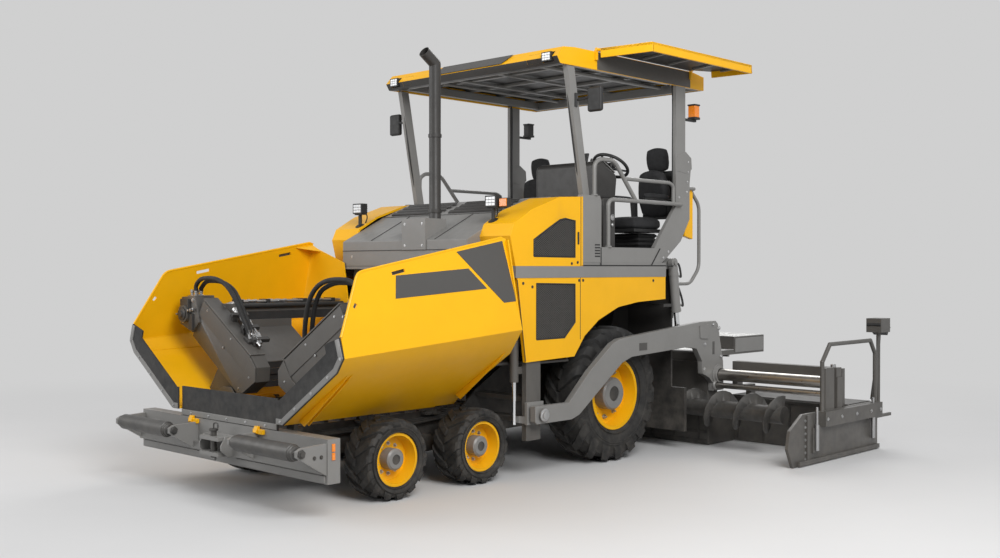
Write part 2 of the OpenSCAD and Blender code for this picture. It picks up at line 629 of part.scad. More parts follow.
// Screed extension with its guide tubes
gate_y = screed_half_w - 30;
module screed_ext() {
  box(-2400, -1905, 1150, gate_y, 6, 470);
  guide_tubes(700, gate_y - 40, 0);
  box(-1750, -1650, 1350, gate_y, 760, 850);
  box(-1750, -1650, 1350, 1410, 570, 761);
  box(-1990, -1650, 1350, 1410, 570, 600);
  box(-1990, -1906, 1350, 1410, 469, 571);
}
module screed_ext_left() at_axle() color(grey) screed_ext();
module screed_ext_right() at_axle() right() color(grey) screed_ext();
// End plate with the tubes' bracket, its rail and the control stand
end_plate = [[-790, 6], [-700, 180], [-740, 340], [-960, 470], [-2440, 470], [-2440, 6]];
module end_gate() {
  gate_rail_y = gate_y + 21;
  plate_xz(end_plate, gate_y, screed_half_w);
  box(-2440, -1290, screed_half_w - eps, screed_half_w + 55, 330, 468);
  box(-1590, -1420, gate_y - 40, gate_y + 10, 470, 860);
  box(-1590, -1420, gate_y, gate_y + 10, 460, 471);
  box(-1750, -1650, gate_y - 40, gate_y + 10, 470, 760);
  box(-1750, -1650, gate_y, gate_y + 10, 460, 471);
  rail([[-1336, gate_rail_y, 465], [-1336, gate_rail_y, 925], [-1480, gate_rail_y, 1083],
    [-2300, gate_rail_y, 1083], [-2400, gate_rail_y, 950], [-2400, gate_rail_y, 465]], 20);
  box(-2760, -2439, gate_y, gate_y + 25, 300, 330);
  box(-2640, -2560, gate_y - 70, gate_y + 1, 300, 330);
  rail([[-2600, gate_y - 40, 329], [-2600, gate_y - 40, 1150]], 20);
  box(-2740, -2540, gate_y - 140, gate_y + 20, 1149, 1290);
}
module end_gate_left() at_axle() color(grey) end_gate();
module end_gate_right() at_axle() right() color(grey) end_gate();

// Lift cylinders between the deck's rear and the arms
module along_lift() translate([lift_top[0], lift_y, lift_top[1]]) rotate([0, 180 + lift_tilt, 0]) children();
module lift_barrels() at_axle() color(grey) both() along_lift() difference() {
  union() {
    translate([0, 0, 35]) cylinder(r = lift_d / 2, h = barrel_len - 35);
    rotate([-90, 0, 0]) translate([0, 0, -25]) cylinder(r = 48, h = 50);
  }
  translate([0, 0, 60]) cylinder(r = lift_rod_r + run, h = barrel_len);
  rotate([-90, 0, 0]) translate([0, 0, -26]) cylinder(r = 22 + run, h = 52);
}
module lift_rods() at_axle() color(steel) both() along_lift() {
  translate([0, 0, 330]) cylinder(r = lift_rod_r, h = lift_len - 330);
  translate([0, 0, lift_len]) rotate([-90, 0, 0]) translate([0, 0, -28]) cylinder(r = 44, h = 56);
  translate([0, 0, lift_len]) rotate([-90, 0, 0]) translate([0, 0, -28]) cylinder(r = 22, h = arm_y - lift_y + 22);
}

// Spreading augers on their centre gear case
module auger() difference() {
  flight_len = auger_tip - 20 - 120;
  union() {
    cyl_y(auger_x, auger_z, 75, auger_tip, 85);
    translate([auger_x, 120, auger_z]) rotate([-90, 0, 0])
      linear_extrude(height = flight_len, twist = 360 * flight_len / auger_pitch, slices = 72, $fn = 4)
        translate([60, -26]) square([auger_d / 2 - 60, 52]);
  }
  cyl_y(auger_x, auger_z, 60, 260, auger_pin_r + run);
}
module auger_left() at_axle() color(grey) auger();
module auger_right() at_axle() right() color(grey) auger();

main_frame();
bulkheads();
wheel_houses();
wing_hinges();
engine_block();
engine_hood();
body_panels();
platform_deck();
console();
seats();
canopy_posts();
canopy_roof();
exhaust_stack();
handrails_left();
handrails_right();
mirrors();
lamps();
push_beam();
front_bogies();
rear_axle();
conveyor();
tow_guides();
front_apron();
wing_left();
wing_right();
wing_arm_left();
wing_arm_right();
skirt_left();
skirt_right();
roller_left();
roller_right();
knuckle_front_left();
knuckle_front_right();
knuckle_mid_left();
knuckle_mid_right();
tyre_front_left();
tyre_front_right();
tyre_mid_left();
tyre_mid_right();
rim_front_left();
rim_front_right();
rim_mid_left();
rim_mid_right();
tyre_rear_left();
tyre_rear_right();
rim_rear_left();
rim_rear_right();
tow_sliders();
tow_arms();
screed_main();
screed_ext_left();
screed_ext_right();
end_gate_left();
end_gate_right();
lift_barrels();
lift_rods();
auger_left();
auger_right();
flap_left();
flap_right();
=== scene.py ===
"""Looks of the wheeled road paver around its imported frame, +X ahead, +Y left, +Z up.

Shapes are given in millimetres from the rear axle's foot. The frame and Blender work in metres.
"""

import json
import math
from collections import namedtuple

import bmesh
import bpy
from mathutils import Matrix, Vector


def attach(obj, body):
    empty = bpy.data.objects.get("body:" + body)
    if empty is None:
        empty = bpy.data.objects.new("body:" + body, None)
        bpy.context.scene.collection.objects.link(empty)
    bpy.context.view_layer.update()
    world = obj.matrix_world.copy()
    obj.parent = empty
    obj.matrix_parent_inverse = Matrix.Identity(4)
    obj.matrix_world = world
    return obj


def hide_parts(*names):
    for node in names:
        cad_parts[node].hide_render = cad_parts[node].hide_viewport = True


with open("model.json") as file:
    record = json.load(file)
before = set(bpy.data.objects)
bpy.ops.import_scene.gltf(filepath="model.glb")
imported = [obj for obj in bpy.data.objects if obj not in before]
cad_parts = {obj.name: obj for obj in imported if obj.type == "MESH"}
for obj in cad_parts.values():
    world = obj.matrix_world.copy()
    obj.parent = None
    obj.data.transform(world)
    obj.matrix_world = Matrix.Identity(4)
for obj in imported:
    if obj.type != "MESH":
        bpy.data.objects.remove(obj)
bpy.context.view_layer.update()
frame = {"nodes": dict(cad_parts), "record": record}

NODES = frame["nodes"]
BODY = {node: body for body, nodes in frame["record"]["behaviour"]["bodies"].items() for node in nodes}
SLOT = {part["node"]: part["material_slot"] for part in frame["record"]["subparts"]}
AXLE = -0.48725
CHASSIS, SCREED = "chassis", "screed"
WING, EXTENSION, FLAP = "wing_{}_body", "extension_{}", "canopy_flap_{}"
SIDES = (("left", 1), ("right", -1))
AHEAD, BACK, OUT, UP = (Vector(v) for v in ((1, 0, 0), (-1, 0, 0), (0, 1, 0), (0, 0, 1)))


def at(x, y, z):
    """A point in millimetres from the rear axle's foot, as a point of the row frame in metres."""
    return Vector((x / 1000 + AXLE, y / 1000, z / 1000))


def from_foot(point):
    """A point of the row frame in metres, in millimetres from the rear axle's foot."""
    return Vector((point.x - AXLE, point.y, point.z)) * 1000


# Materials
DUST = (0.30, 0.27, 0.23)


def new_material(name):
    material = bpy.data.materials.new(name)
    material.use_nodes = True
    tree = material.node_tree
    return material, tree, tree.nodes["Principled BSDF"]


def feed(tree, node, values):
    """Gives a node's inputs numbers, colours or the outputs of other nodes."""
    for key, value in values.items():
        if isinstance(value, bpy.types.NodeSocket):
            tree.links.new(value, node.inputs[key])
        else:
            node.inputs[key].default_value = (*value, 1) if isinstance(value, tuple) else value
    return node


def add_node(tree, kind, values):
    return feed(tree, tree.nodes.new("ShaderNode" + kind), values)


def grey(v):
    return (v, v, v)


def scaled(colour, share):
    return tuple(min(1.0, c * share) for c in colour)


def noise(tree, scale, detail):
    coords = add_node(tree, "TexCoord", {}).outputs["Object"]
    values = {"Scale": scale, "Detail": detail, "Roughness": 0.6, "Vector": coords}
    return add_node(tree, "TexNoise", values).outputs["Fac"]


def patches(tree, scale, detail, low, high):
    """Patchy noise that runs between two stops, each a place and a colour."""
    node = add_node(tree, "ValToRGB", {"Fac": noise(tree, scale, detail)})
    for end, (place, colour) in zip(node.color_ramp.elements, (low, high)):
        end.position = place
        end.color = (*colour, 1)
    return node.outputs["Color"]


def gloss(tree, scale, low, high):
    return patches(tree, scale, 6.0, (0.3, grey(low)), (0.75, grey(high)))


def mix(tree, fac, a, b):
    node = tree.nodes.new("ShaderNodeMix")
    node.data_type = "RGBA"
    return feed(tree, node, {0: fac, 6: a, 7: b}).outputs[2]


def math_node(tree, op, a, b):
    node = add_node(tree, "Math", {0: a, 1: b})
    node.operation = op
    node.use_clamp = True
    return node.outputs[0]


def grain(tree, scale, detail, strength, distance=0.001):
    """Fine relief of a surface, as a normal."""
    values = {"Height": noise(tree, scale, detail), "Strength": strength, "Distance": distance}
    return add_node(tree, "Bump", values).outputs["Normal"]


def place_of(tree):
    return add_node(tree, "NewGeometry", {}).outputs["Position"]


def dusty(tree, colour, top, amount):
    """A colour under dust that is strongest at the ground and gone above the height top."""
    height = add_node(tree, "SeparateXYZ", {0: place_of(tree)}).outputs[2]
    low = math_node(tree, "SUBTRACT", 1.0, math_node(tree, "DIVIDE", height, top))
    speckle = patches(tree, 9.0, 8.0, (0.35, grey(0)), (0.75, grey(1)))
    mask = math_node(tree, "MULTIPLY", math_node(tree, "MULTIPLY", low, speckle), amount)
    return mix(tree, mask, colour, DUST)


def paint(name, colour, rough=0.42, vary=0.10, dust=0.25, dust_top=1.6, metallic=0.0, coat=0.15):
    """Sprayed paint: slight patches of tone, fine peel and dust low down."""
    material, tree, shader = new_material(name)
    tone = patches(tree, 2.2, 5.0, (0.3, scaled(colour, 1 - vary)), (0.7, scaled(colour, 1 + vary * 0.6)))
    feed(tree, shader, {
        "Base Color": dusty(tree, tone, dust_top, dust), "Normal": grain(tree, 260.0, 2.0, 0.05),
        "Roughness": gloss(tree, 14.0, rough - 0.06, rough + 0.10), "Metallic": metallic,
        "Coat Weight": coat, "Coat Roughness": 0.25,
    })
    return material


def rubber(name, colour, rough, dust, dust_top=1.3, relief=0.25):
    """Black rubber or plastic: dull, finely grained, paler where dust lies."""
    material, tree, shader = new_material(name)
    tone = patches(tree, 6.0, 8.0, (0.3, colour), (0.8, scaled(colour, 1.9)))
    feed(tree, shader, {
        "Base Color": dusty(tree, tone, dust_top, dust), "Normal": grain(tree, 420.0, 3.0, relief),
        "Roughness": gloss(tree, 22.0, rough - 0.10, min(1.0, rough + 0.12)),
    })
    return material


def metal(name, colour, rough, scratch):
    """Bare or plated metal with drawn streaks in its gloss."""
    material, tree, shader = new_material(name)
    feed(tree, shader, {
        "Base Color": patches(tree, 5.0, 6.0, (0.3, scaled(colour, 0.86)), (0.7, colour)), "Metallic": 1.0,
        "Roughness": patches(tree, 30.0, 8.0, (0.35, grey(rough)), (0.7, grey(rough + scratch))),
        "Normal": grain(tree, 300.0, 2.0, 0.03, 0.0006),
    })
    return material


def lens(name, colour, glow):
    """Clear or tinted lamp face with fine flutes."""
    material, tree, shader = new_material(name)
    feed(tree, shader, {
        "Base Color": patches(tree, 60.0, 3.0, (0.35, scaled(colour, 0.8)), (0.65, colour)),
        "Roughness": 0.12, "Coat Weight": 0.6, "Emission Color": colour, "Emission Strength": glow,
        "Normal": grain(tree, 140.0, 1.0, 0.2),
    })
    return material


YELLOW = paint("yellow_paint", (0.93, 0.475, 0.004), 0.36, 0.05, 0.06, 1.0, 0.0, 0.04)
YELLOW.node_tree.nodes["Principled BSDF"].inputs["Specular IOR Level"].default_value = 0.30
GREY = paint("grey_paint", (0.225, 0.221, 0.212), 0.44, 0.08, 0.18, 1.2)
SCREED_GREY = paint("dark_grey_paint", (0.088, 0.083, 0.076), 0.46, 0.12, 0.22, 1.2)
DARK = paint("dark_frame_paint", (0.035, 0.033, 0.031), 0.52, 0.2, 0.4, 1.1)
IRON = paint("dark_iron", (0.060, 0.058, 0.055), 0.50, 0.25, 0.35, 0.9, 0.35)
PLATE = paint("label_panel", (0.070, 0.067, 0.063), 0.40, 0.05, 0.05)
BLACK = rubber("black_plastic", grey(0.014), 0.55, 0.15)
RUBBER = rubber("black_rubber", grey(0.011), 0.70, 0.25)
TYRE = rubber("tyre_rubber", grey(0.009), 0.72, 0.22, 1.4, 0.4)
SEAT = rubber("seat_cloth", (0.016, 0.016, 0.017), 0.85, 0.0, 1.0, 0.9)
CHROME = metal("chrome_rod", (0.80, 0.81, 0.82), 0.10, 0.08)
SATIN = metal("satin_tube", (0.50, 0.48, 0.45), 0.27, 0.12)
STEEL = metal("bare_steel", grey(0.52), 0.30, 0.15)
CHEQUER = metal("chequer_steel", (0.66, 0.66, 0.65), 0.38, 0.14)
MIRROR = metal("mirror_glass", (0.75, 0.78, 0.80), 0.04, 0.02)
WHITE_LENS = lens("clear_lens", (0.82, 0.84, 0.86), 0.15)
AMBER = lens("amber_lens", (0.95, 0.26, 0.01), 0.10)

# Materials of each slot: the first is the one of its CAD nodes
SLOT_MATERIALS = {
    "yellow": (YELLOW,), "grey": (GREY, SCREED_GREY, PLATE), "dark": (DARK,), "iron": (IRON,),
    "black": (BLACK, WHITE_LENS, AMBER), "rubber": (RUBBER,), "tyre": (TYRE,), "seat": (SEAT,),
    "steel": (CHROME, SATIN, STEEL, CHEQUER, MIRROR),
}
for name, slot in SLOT.items():
    NODES[name].data.materials.clear()
    NODES[name].data.materials.append(SLOT_MATERIALS[slot][0])

# Camera, floor and light
CAMERA_PLACE = at(8408, 7765, 1800)
CAMERA_AIM = Vector((-0.7193, -0.6947, -0.0096))
LENS_MM, SENSOR_MM = 41.26, 36.0
BACKDROP, FLOOR_BOUNCE = 0.63, 0.34
FLOOR_HALF, FADE_FROM, FADE_TO = 90.0, 3.2, 10.5
SCENE = bpy.context.scene


def linked(thing):
    SCENE.collection.objects.link(thing)
    return thing


def facing(way):
    """Turn of a camera or lamp that looks along a vector."""
    return Vector(way).to_track_quat("-Z", "Y").to_euler()


def add_camera():
    camera = linked(bpy.data.objects.new("camera", bpy.data.cameras.new("camera")))
    camera.data.sensor_width = SENSOR_MM
    camera.data.lens = LENS_MM
    camera.data.clip_end = 200.0
    camera.location = CAMERA_PLACE
    camera.rotation_euler = facing(CAMERA_AIM)
    SCENE.camera = camera


def blend(tree, fac, first, second, target):
    """Shows one shader, or a second one as fac grows."""
    values = {0: fac, 1: first.outputs[0], 2: second.outputs[0]}
    feed(tree, tree.nodes[target], {"Surface": add_node(tree, "MixShader", values).outputs[0]})


def add_floor():
    """A pale floor that keeps the shadow near the machine and fades into the backdrop far from it."""
    data = bpy.data.meshes.new("floor")
    corners = [(FLOOR_HALF * x, FLOOR_HALF * y, 0) for x, y in ((-1, -1), (1, -1), (1, 1), (-1, 1))]
    data.from_pydata(corners, [], [(0, 1, 2, 3)])
    floor = linked(bpy.data.objects.new("floor", data))
    material, tree, shader = new_material("floor")
    tone = patches(tree, 0.6, 3.0, (0.2, grey(0.66)), (0.8, grey(0.69)))
    bounced = add_node(tree, "LightPath", {}).outputs["Is Diffuse Ray"]
    feed(tree, shader, {"Base Color": mix(tree, bounced, tone, grey(FLOOR_BOUNCE)), "Roughness": 0.9})
    far = add_node(tree, "Emission", {"Color": grey(BACKDROP)})
    reach = add_node(tree, "VectorMath", {0: place_of(tree)})
    reach.operation = "LENGTH"
    values = {"Value": reach.outputs["Value"], "From Min": FADE_FROM, "From Max": FADE_TO}
    fade = add_node(tree, "MapRange", values)
    fade.interpolation_type = "SMOOTHSTEP"
    blend(tree, fade.outputs["Result"], shader, far, "Material Output")
    data.materials.append(material)


def add_light(name, place, aim, size, power):
    light = linked(bpy.data.objects.new(name, bpy.data.lights.new(name, "AREA")))
    light.data.shape = "DISK"
    light.data.size = size
    light.data.energy = power
    light.location = place
    light.rotation_euler = facing(Vector(aim) - Vector(place))


def add_world():
    """Soft light from all round, with one even tone where the camera or a reflection sees it."""
    SCENE.world = bpy.data.worlds.new("studio")
    SCENE.world.use_nodes = True
    tree = SCENE.world.node_tree
    lit = feed(tree, tree.nodes["Background"], {"Color": (0.80, 0.80, 0.81), "Strength": 0.58})
    seen = add_node(tree, "Background", {"Color": grey(BACKDROP)})
    rays = add_node(tree, "LightPath", {}).outputs
    either = math_node(tree, "ADD", rays["Is Camera Ray"], rays["Is Transmission Ray"])
    blend(tree, math_node(tree, "ADD", either, rays["Is Glossy Ray"]), lit, seen, "World Output")


add_camera()
add_floor()
add_world()
add_light("key", (4.5, 9.0, 7.5), (0.0, 0.0, 1.2), 6.0, 890)
add_light("fill", (9.0, -6.0, 5.0), (0.0, 0.0, 1.2), 7.0, 350)
add_light("back", (-8.0, -3.0, 8.0), (0.0, 0.0, 1.5), 6.0, 350)
SCENE.view_settings.view_transform = "Standard"

# Mesh building
TIP = 0.1  # radius at which a turned form closes
BOX_FACES = ((0, 2, 3, 1), (4, 5, 7, 6), (0, 1, 5, 4), (2, 6, 7, 3), (0, 4, 6, 2), (1, 3, 7, 5))


def softened(data, bevel, sharp, limit):
    """An object for a mesh: smooth but for its sharp edges, which get a small bevel."""
    data.shade_smooth()
    data.set_sharp_from_angle(angle=math.radians(sharp))
    thing = linked(bpy.data.objects.new(data.name, data))
    if bevel:
        edge = thing.modifiers.new("edges", "BEVEL")
        edge.width = bevel / 1000
        edge.segments = 2
        edge.limit_method = "ANGLE"
        edge.angle_limit = math.radians(limit)
        edge.harden_normals = True
    return thing


class Shape:
    """Vertices and faces of one piece, gathered from simple forms."""

    def __init__(self):
        self.verts = []
        self.faces = []

    def add(self, verts, faces):
        base = len(self.verts)
        self.verts += [Vector(v) for v in verts]
        self.faces += [tuple(base + i for i in face) for face in faces]
        return self

    def box(self, x0, x1, y0, y1, z0, z1, turn=None, about=None):
        """A box, turned about its middle or about a given point."""
        corners = [Vector((x, y, z)) for z in (z0, z1) for y in (y0, y1) for x in (x0, x1)]
        if turn is not None:
            middle = Vector(about or ((x0 + x1) / 2, (y0 + y1) / 2, (z0 + z1) / 2))
            corners = [middle + turn @ (c - middle) for c in corners]
        return self.add(corners, BOX_FACES)

    def prism(self, outline, lift):
        """A flat outline of points in space, thickened by the vector lift."""
        lift = Vector(lift)
        points = [Vector(p) for p in outline]
        normal = Vector((0, 0, 0))
        for p, q in zip(points[1:], points[2:]):
            normal += (p - points[0]).cross(q - points[0])
        if normal.dot(lift) < 0:
            points.reverse()
        n = len(points)
        walls = [(i, (i + 1) % n, n + (i + 1) % n, n + i) for i in range(n)]
        ends = [tuple(range(n))[::-1], tuple(range(n, 2 * n))]
        return self.add(points + [p + lift for p in points], ends + walls)

    def ahead(self, x0, x1, outline):
        """An outline of (y, z) points, from x0 to x1."""
        return self.prism([(x0, y, z) for y, z in outline], (x1 - x0, 0, 0))

    def across(self, y0, y1, outline):
        """An outline of (x, z) points, from y0 to y1."""
        return self.prism([(x, y0, z) for x, z in outline], (0, y1 - y0, 0))

    def lathe(self, profile, centre, axis, count):
        """Turns (radius, distance along axis) points about an axis through centre."""
        axis = Vector(axis).normalized()
        side = axis.orthogonal().normalized()
        other = axis.cross(side)
        rings = len(profile)
        verts = []
        faces = []
        for k in range(count):
            angle = 2 * math.pi * k / count
            out = side * math.cos(angle) + other * math.sin(angle)
            verts += [Vector(centre) + out * r + axis * a for r, a in profile]
            this, after = k * rings, (k + 1) % count * rings
            faces += [(this + i, after + i, after + i + 1, this + i + 1) for i in range(rings - 1)]
        return self.add(verts, faces)

    def knob(self, profile, centre, axis, count=6):
        """A turned form with flat, closed ends."""
        return self.lathe([(TIP, profile[0][1]), *profile, (TIP, profile[-1][1])], centre, axis, count)

    def rod(self, a, b, r, count=16):
        """A cylinder with chamfered ends from a to b."""
        way = Vector(b) - Vector(a)
        cut = min(r, way.length) * 0.12
        profile = [(r - cut, 0), (r, cut), (r, way.length - cut), (r - cut, way.length)]
        return self.knob(profile, a, way, count)

    def tube(self, path, r, count=10, ends=True):
        """A round bar swept along a path, with one radius or one for each point."""
        path = [Vector(p) for p in path]
        n = len(path)
        heads = [(path[min(i + 1, n - 1)] - path[max(i - 1, 0)]).normalized() for i in range(n)]
        side = heads[0].orthogonal().normalized()
        verts = []
        for i, head in enumerate(heads):
            if i:
                side = (heads[i - 1].rotation_difference(head) @ side).normalized()
            other = head.cross(side)
            radius = r[i] if isinstance(r, tuple) else r
            for k in range(count):
                angle = 2 * math.pi * k / count
                verts.append(path[i] + side * radius * math.cos(angle) + other * radius * math.sin(angle))
        faces = []
        around = [(k, (k + 1) % count) for k in range(count)]
        for base in range(0, (n - 1) * count, count):
            faces += [(base + k, base + j, base + count + j, base + count + k) for k, j in around]
        if ends:
            faces += [tuple(range(count))[::-1], tuple(range((n - 1) * count, n * count))]
        return self.add(verts, faces)

    def bolt(self, place, out, r, h):
        """A washer and a hexagonal head on a surface."""
        self.knob([(r * 1.5, 0), (r * 1.5, h * 0.25)], place, out, 12)
        return self.knob([(r, h * 0.2), (r, h * 0.85), (r * 0.85, h)], place, out)

    def join(self, other):
        return self.add(other.verts, other.faces)

    def mirrored(self):
        """The same shape on the other side of the machine."""
        copy = Shape()
        copy.verts = [Vector((v.x, -v.y, v.z)) for v in self.verts]
        copy.faces = [tuple(reversed(face)) for face in self.faces]
        return copy

    def both(self):
        """The shape together with its mirror image."""
        return self.join(self.mirrored())

    def placed(self, turn, place):
        self.verts = [Vector(place) + turn @ v for v in self.verts]
        return self

    def piece(self, name, material, bevel=0, body=CHASSIS, slot=None, smooth=35, node=None):
        """Makes a piece that rides a body and, where a node is named, stands for it."""
        data = bpy.data.meshes.new(name)
        data.from_pydata([at(*v) for v in self.verts], [], self.faces)
        data.validate()
        data.materials.append(material)
        thing = softened(data, bevel, smooth, 40)
        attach(thing, body)
        if node:
            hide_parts(node)
        return thing

    def twins(self, name, material, bevel=0, body=CHASSIS, slot=None, smooth=35, node=""):
        """One such piece on each side; a {} in the body or node takes the side's name."""
        for side, s in SIDES:
            there = self if s > 0 else self.mirrored()
            there.piece(f"{name}_{side}", material, bevel, body.format(side), slot, smooth, node.format(side))


def curve(points, steps=8):
    """A smooth path through the points (Catmull-Rom)."""
    points = [Vector(p) for p in points]
    ends = [2 * points[0] - points[1]] + points + [2 * points[-1] - points[-2]]
    path = []
    for a, b, c, d in zip(ends, ends[1:], ends[2:], ends[3:]):
        for t in (k / steps for k in range(steps)):
            bend = (2 * a - 5 * b + 4 * c - d) * t**2 + (3 * b - 3 * c + d - a) * t**3
            path.append(0.5 * (2 * b + (c - a) * t + bend))
    return path + [points[-1]]


def rounded(points, r, steps=5):
    """A path of straight runs with rounded corners."""
    points = [Vector(p) for p in points]
    path = [points[0]]
    for a, b, c in zip(points, points[1:], points[2:]):
        reach = min(r, (b - a).length * 0.45, (c - b).length * 0.45)
        start = b + (a - b).normalized() * reach
        end = b + (c - b).normalized() * reach
        for t in (k / steps for k in range(steps + 1)):
            path.append(start * (1 - t) ** 2 + b * 2 * t * (1 - t) + end * t**2)
    return path + [points[-1]]


def spun(degrees, axis):
    return Matrix.Rotation(math.radians(degrees), 3, axis)


def recolour(data, material, test):
    """Gives the faces that pass a test of their middle, in millimetres, and normal another material."""
    data.materials.append(material)
    for face in data.polygons:
        if test(from_foot(face.center), face.normal):
            face.material_index = len(data.materials) - 1


DARK_NODES = (
    "screed_main", "bulkheads", "wheel_houses", "wing_hinges", "tow_guides", "front_bogies", "rear_axle",
    *(f"{name}_{side}" for name in ("screed_ext", "end_gate", "auger", "wing_arm") for side, s in SIDES),
)


def dressed(node, bevel, *paints):
    """A copy of a CAD node with softened edges, standing in its place; paints are (material, face test).

    A {} in the node takes the name of each side.
    """
    if "{}" in node:
        for side, s in SIDES:
            dressed(node.format(side), bevel, *paints)
        return
    work = bmesh.new()
    work.from_mesh(NODES[node].data)
    bmesh.ops.remove_doubles(work, verts=work.verts, dist=1e-5)
    bmesh.ops.dissolve_limit(work, angle_limit=math.radians(0.5), verts=work.verts, edges=work.edges)
    bmesh.ops.connect_verts_concave(work, faces=work.faces)
    data = bpy.data.meshes.new(node + "_look")
    work.to_mesh(data)
    work.free()
    dark = node in DARK_NODES and SLOT[node] == "grey"
    data.materials.append(SCREED_GREY if dark else SLOT_MATERIALS[SLOT[node]][0])
    for material, test in paints:
        recolour(data, material, test)
    thing = softened(data, bevel, 30, 30)
    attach(thing, BODY[node])
    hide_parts(node)


# Wheels
Wheel = namedtuple("Wheel", "d w rim track lugs depth hub_r nut_circle nut_r")
REAR_WHEEL = Wheel(d=1260, w=400, rim=630, track=1930, lugs=18, depth=34, hub_r=150, nut_circle=225, nut_r=17)
FRONT_WHEEL = Wheel(d=634, w=320, rim=400, track=1820, lugs=14, depth=20, hub_r=85, nut_circle=118, nut_r=11)
AXLES = {"rear": (0, REAR_WHEEL), "front": (2597, FRONT_WHEEL), "mid": (1667, FRONT_WHEEL)}
NUTS = 10
LUG_SKEW, LUG_ROOT = 0.9, 4


def tyre_profile(wheel, inset):
    """Half outline of a tyre, from the middle of the tread to the bead, as (across, radius)."""
    w, bead = wheel.w, wheel.rim / 2
    r = wheel.d / 2 - inset
    h = wheel.d / 2 - bead
    return [
        (0.0, r), (0.20 * w, r), (0.33 * w, r - 0.012 * h), (0.42 * w, r - 0.06 * h),
        (0.468 * w - inset * 0.4, r - 0.17 * h), (0.492 * w - inset * 0.3, r - 0.34 * h),
        (0.498 * w, bead + 0.50 * h), (0.488 * w, bead + 0.33 * h), (0.455 * w, bead + 0.18 * h),
        (0.405 * w, bead + 0.08 * h), (0.395 * w, bead),
    ]


def add_lug(shape, wheel, centre, side, start):
    """One slanted lug that wraps over a shoulder of the tyre."""
    pitch = 2 * math.pi / wheel.lugs
    top = tyre_profile(wheel, 0.0)[:6]
    bottom = tyre_profile(wheel, wheel.depth + LUG_ROOT)[:6]
    last = len(top) - 1
    verts = []
    for i, (upper, lower) in enumerate(zip(top, bottom)):
        share = i / last
        middle = start + LUG_SKEW * pitch * math.sin(share * math.pi / 2)
        half = pitch * (0.22 + 0.08 * share)
        for (a, r), wide in ((upper, 0.86), (lower, 1.12)):
            for angle in (middle - half * wide, middle + half * wide):
                across = side * max(a, 0.012 * wheel.w)
                verts.append(centre + Vector((r * math.cos(angle), across, r * math.sin(angle))))
    faces = [(0, 1, 3, 2), (4 * last, 4 * last + 2, 4 * last + 3, 4 * last + 1)]
    for p in range(0, 4 * last, 4):
        q = p + 4
        faces += [(p, q, q + 1, p + 1), (p + 2, p + 3, q + 3, q + 2)]
        faces += [(p, p + 2, q + 2, q), (p + 1, q + 1, q + 3, p + 3)]
    shape.add(verts, faces if side < 0 else [tuple(reversed(f)) for f in faces])


def tyre_shape(wheel, centre):
    """Carcass with side ribs and lugs."""
    shape = Shape()
    low = tyre_profile(wheel, wheel.depth)
    shape.lathe([(r, -a) for a, r in reversed(low)] + [(r, a) for a, r in low[1:]], centre, OUT, 72)
    h = (wheel.d - wheel.rim) / 2
    for side in (-1, 1):
        for share in (0.16, 0.44):
            r = wheel.rim / 2 + share * h
            a = side * (0.455 + 0.04 * min(1, share / 0.4)) * wheel.w
            rib = [(r - 6, a), (r - 3, a + side * 5), (r + 3, a + side * 5), (r + 6, a)]
            shape.lathe(rib, centre, OUT, 64)
        for k in range(wheel.lugs):
            add_lug(shape, wheel, centre, side, 2 * math.pi / wheel.lugs * (k + (0.5 if side > 0 else 0.0)))
    return shape


def wheel_nuts(wheel, centre, s):
    """A ring of nuts with stud ends on the disc, facing outwards."""
    shape = Shape()
    r, circle = wheel.nut_r, wheel.nut_circle
    for angle in (2 * math.pi * (k + 0.5) / NUTS for k in range(NUTS)):
        offset = (circle * math.cos(angle), s * (0.10 * wheel.w - 6), circle * math.sin(angle))
        shape.bolt(centre + Vector(offset), OUT * s, r, r * 1.5)
        stud = [(TIP, 0), (r * 0.5, 0), (r * 0.5, r * 2.2), (TIP, r * 2.3)]
        shape.lathe(stud, centre + Vector(offset), OUT * s, 10)
    return shape


def in_hub(centre, wheel):
    return lambda c, n: math.hypot(c.x - centre.x, c.z - centre.z) < wheel.hub_r + 2


for side, s in SIDES:
    for axle, (x, wheel) in AXLES.items():
        place = f"{axle}_{side}"
        body = f"wheel_{place}"
        centre = Vector((x, s * wheel.track / 2, wheel.d / 2))
        tyre_shape(wheel, centre).piece(f"tyre_tread_{place}", TYRE, 0, body, None, 28, f"tyre_{place}")
        wheel_nuts(wheel, centre, s).piece(f"wheel_nuts_{place}", STEEL, 0, body, "grey")
        recolour(NODES[f"rim_{place}"].data, GREY, in_hub(centre, wheel))

# Hopper wings with their skirts
SKIRT = [(690, 641), (775, 641), (1415, 1064), (1488, 1170), (1442, 1315)]
SKIRT_X, WING_LEN = 3455, 1805
LEAN = 0.26
dressed("wing_{}", 4)
dressed("skirt_{}", 3, (GREY, lambda c, n: c.x > SKIRT_X + 12.4))
dressed("front_apron", 3, (GREY, lambda c, n: c.x > SKIRT_X - 12.5))


def along(line, pitch, start, inset):
    """Points (y, z) at an even pitch along a line, moved to its left by inset."""
    points = []
    left = start
    for (y0, z0), (y1, z1) in zip(line, line[1:]):
        length = math.hypot(y1 - y0, z1 - z0)
        ey, ez = (y1 - y0) / length, (z1 - z0) / length
        while left < length:
            points.append((y0 + ey * left - ez * inset, z0 + ez * left + ey * inset))
            left += pitch
        left -= length
    return points


def on_side(points, proud):
    """Points (x, z) laid on the outer face of a wing's side plate."""
    placed = []
    for x, z in points:
        back = (SKIRT_X - x) / WING_LEN
        placed.append((x, 1488 + 2 * back - LEAN * (z - 1170 - 132 * back) + proud, z))
    return placed


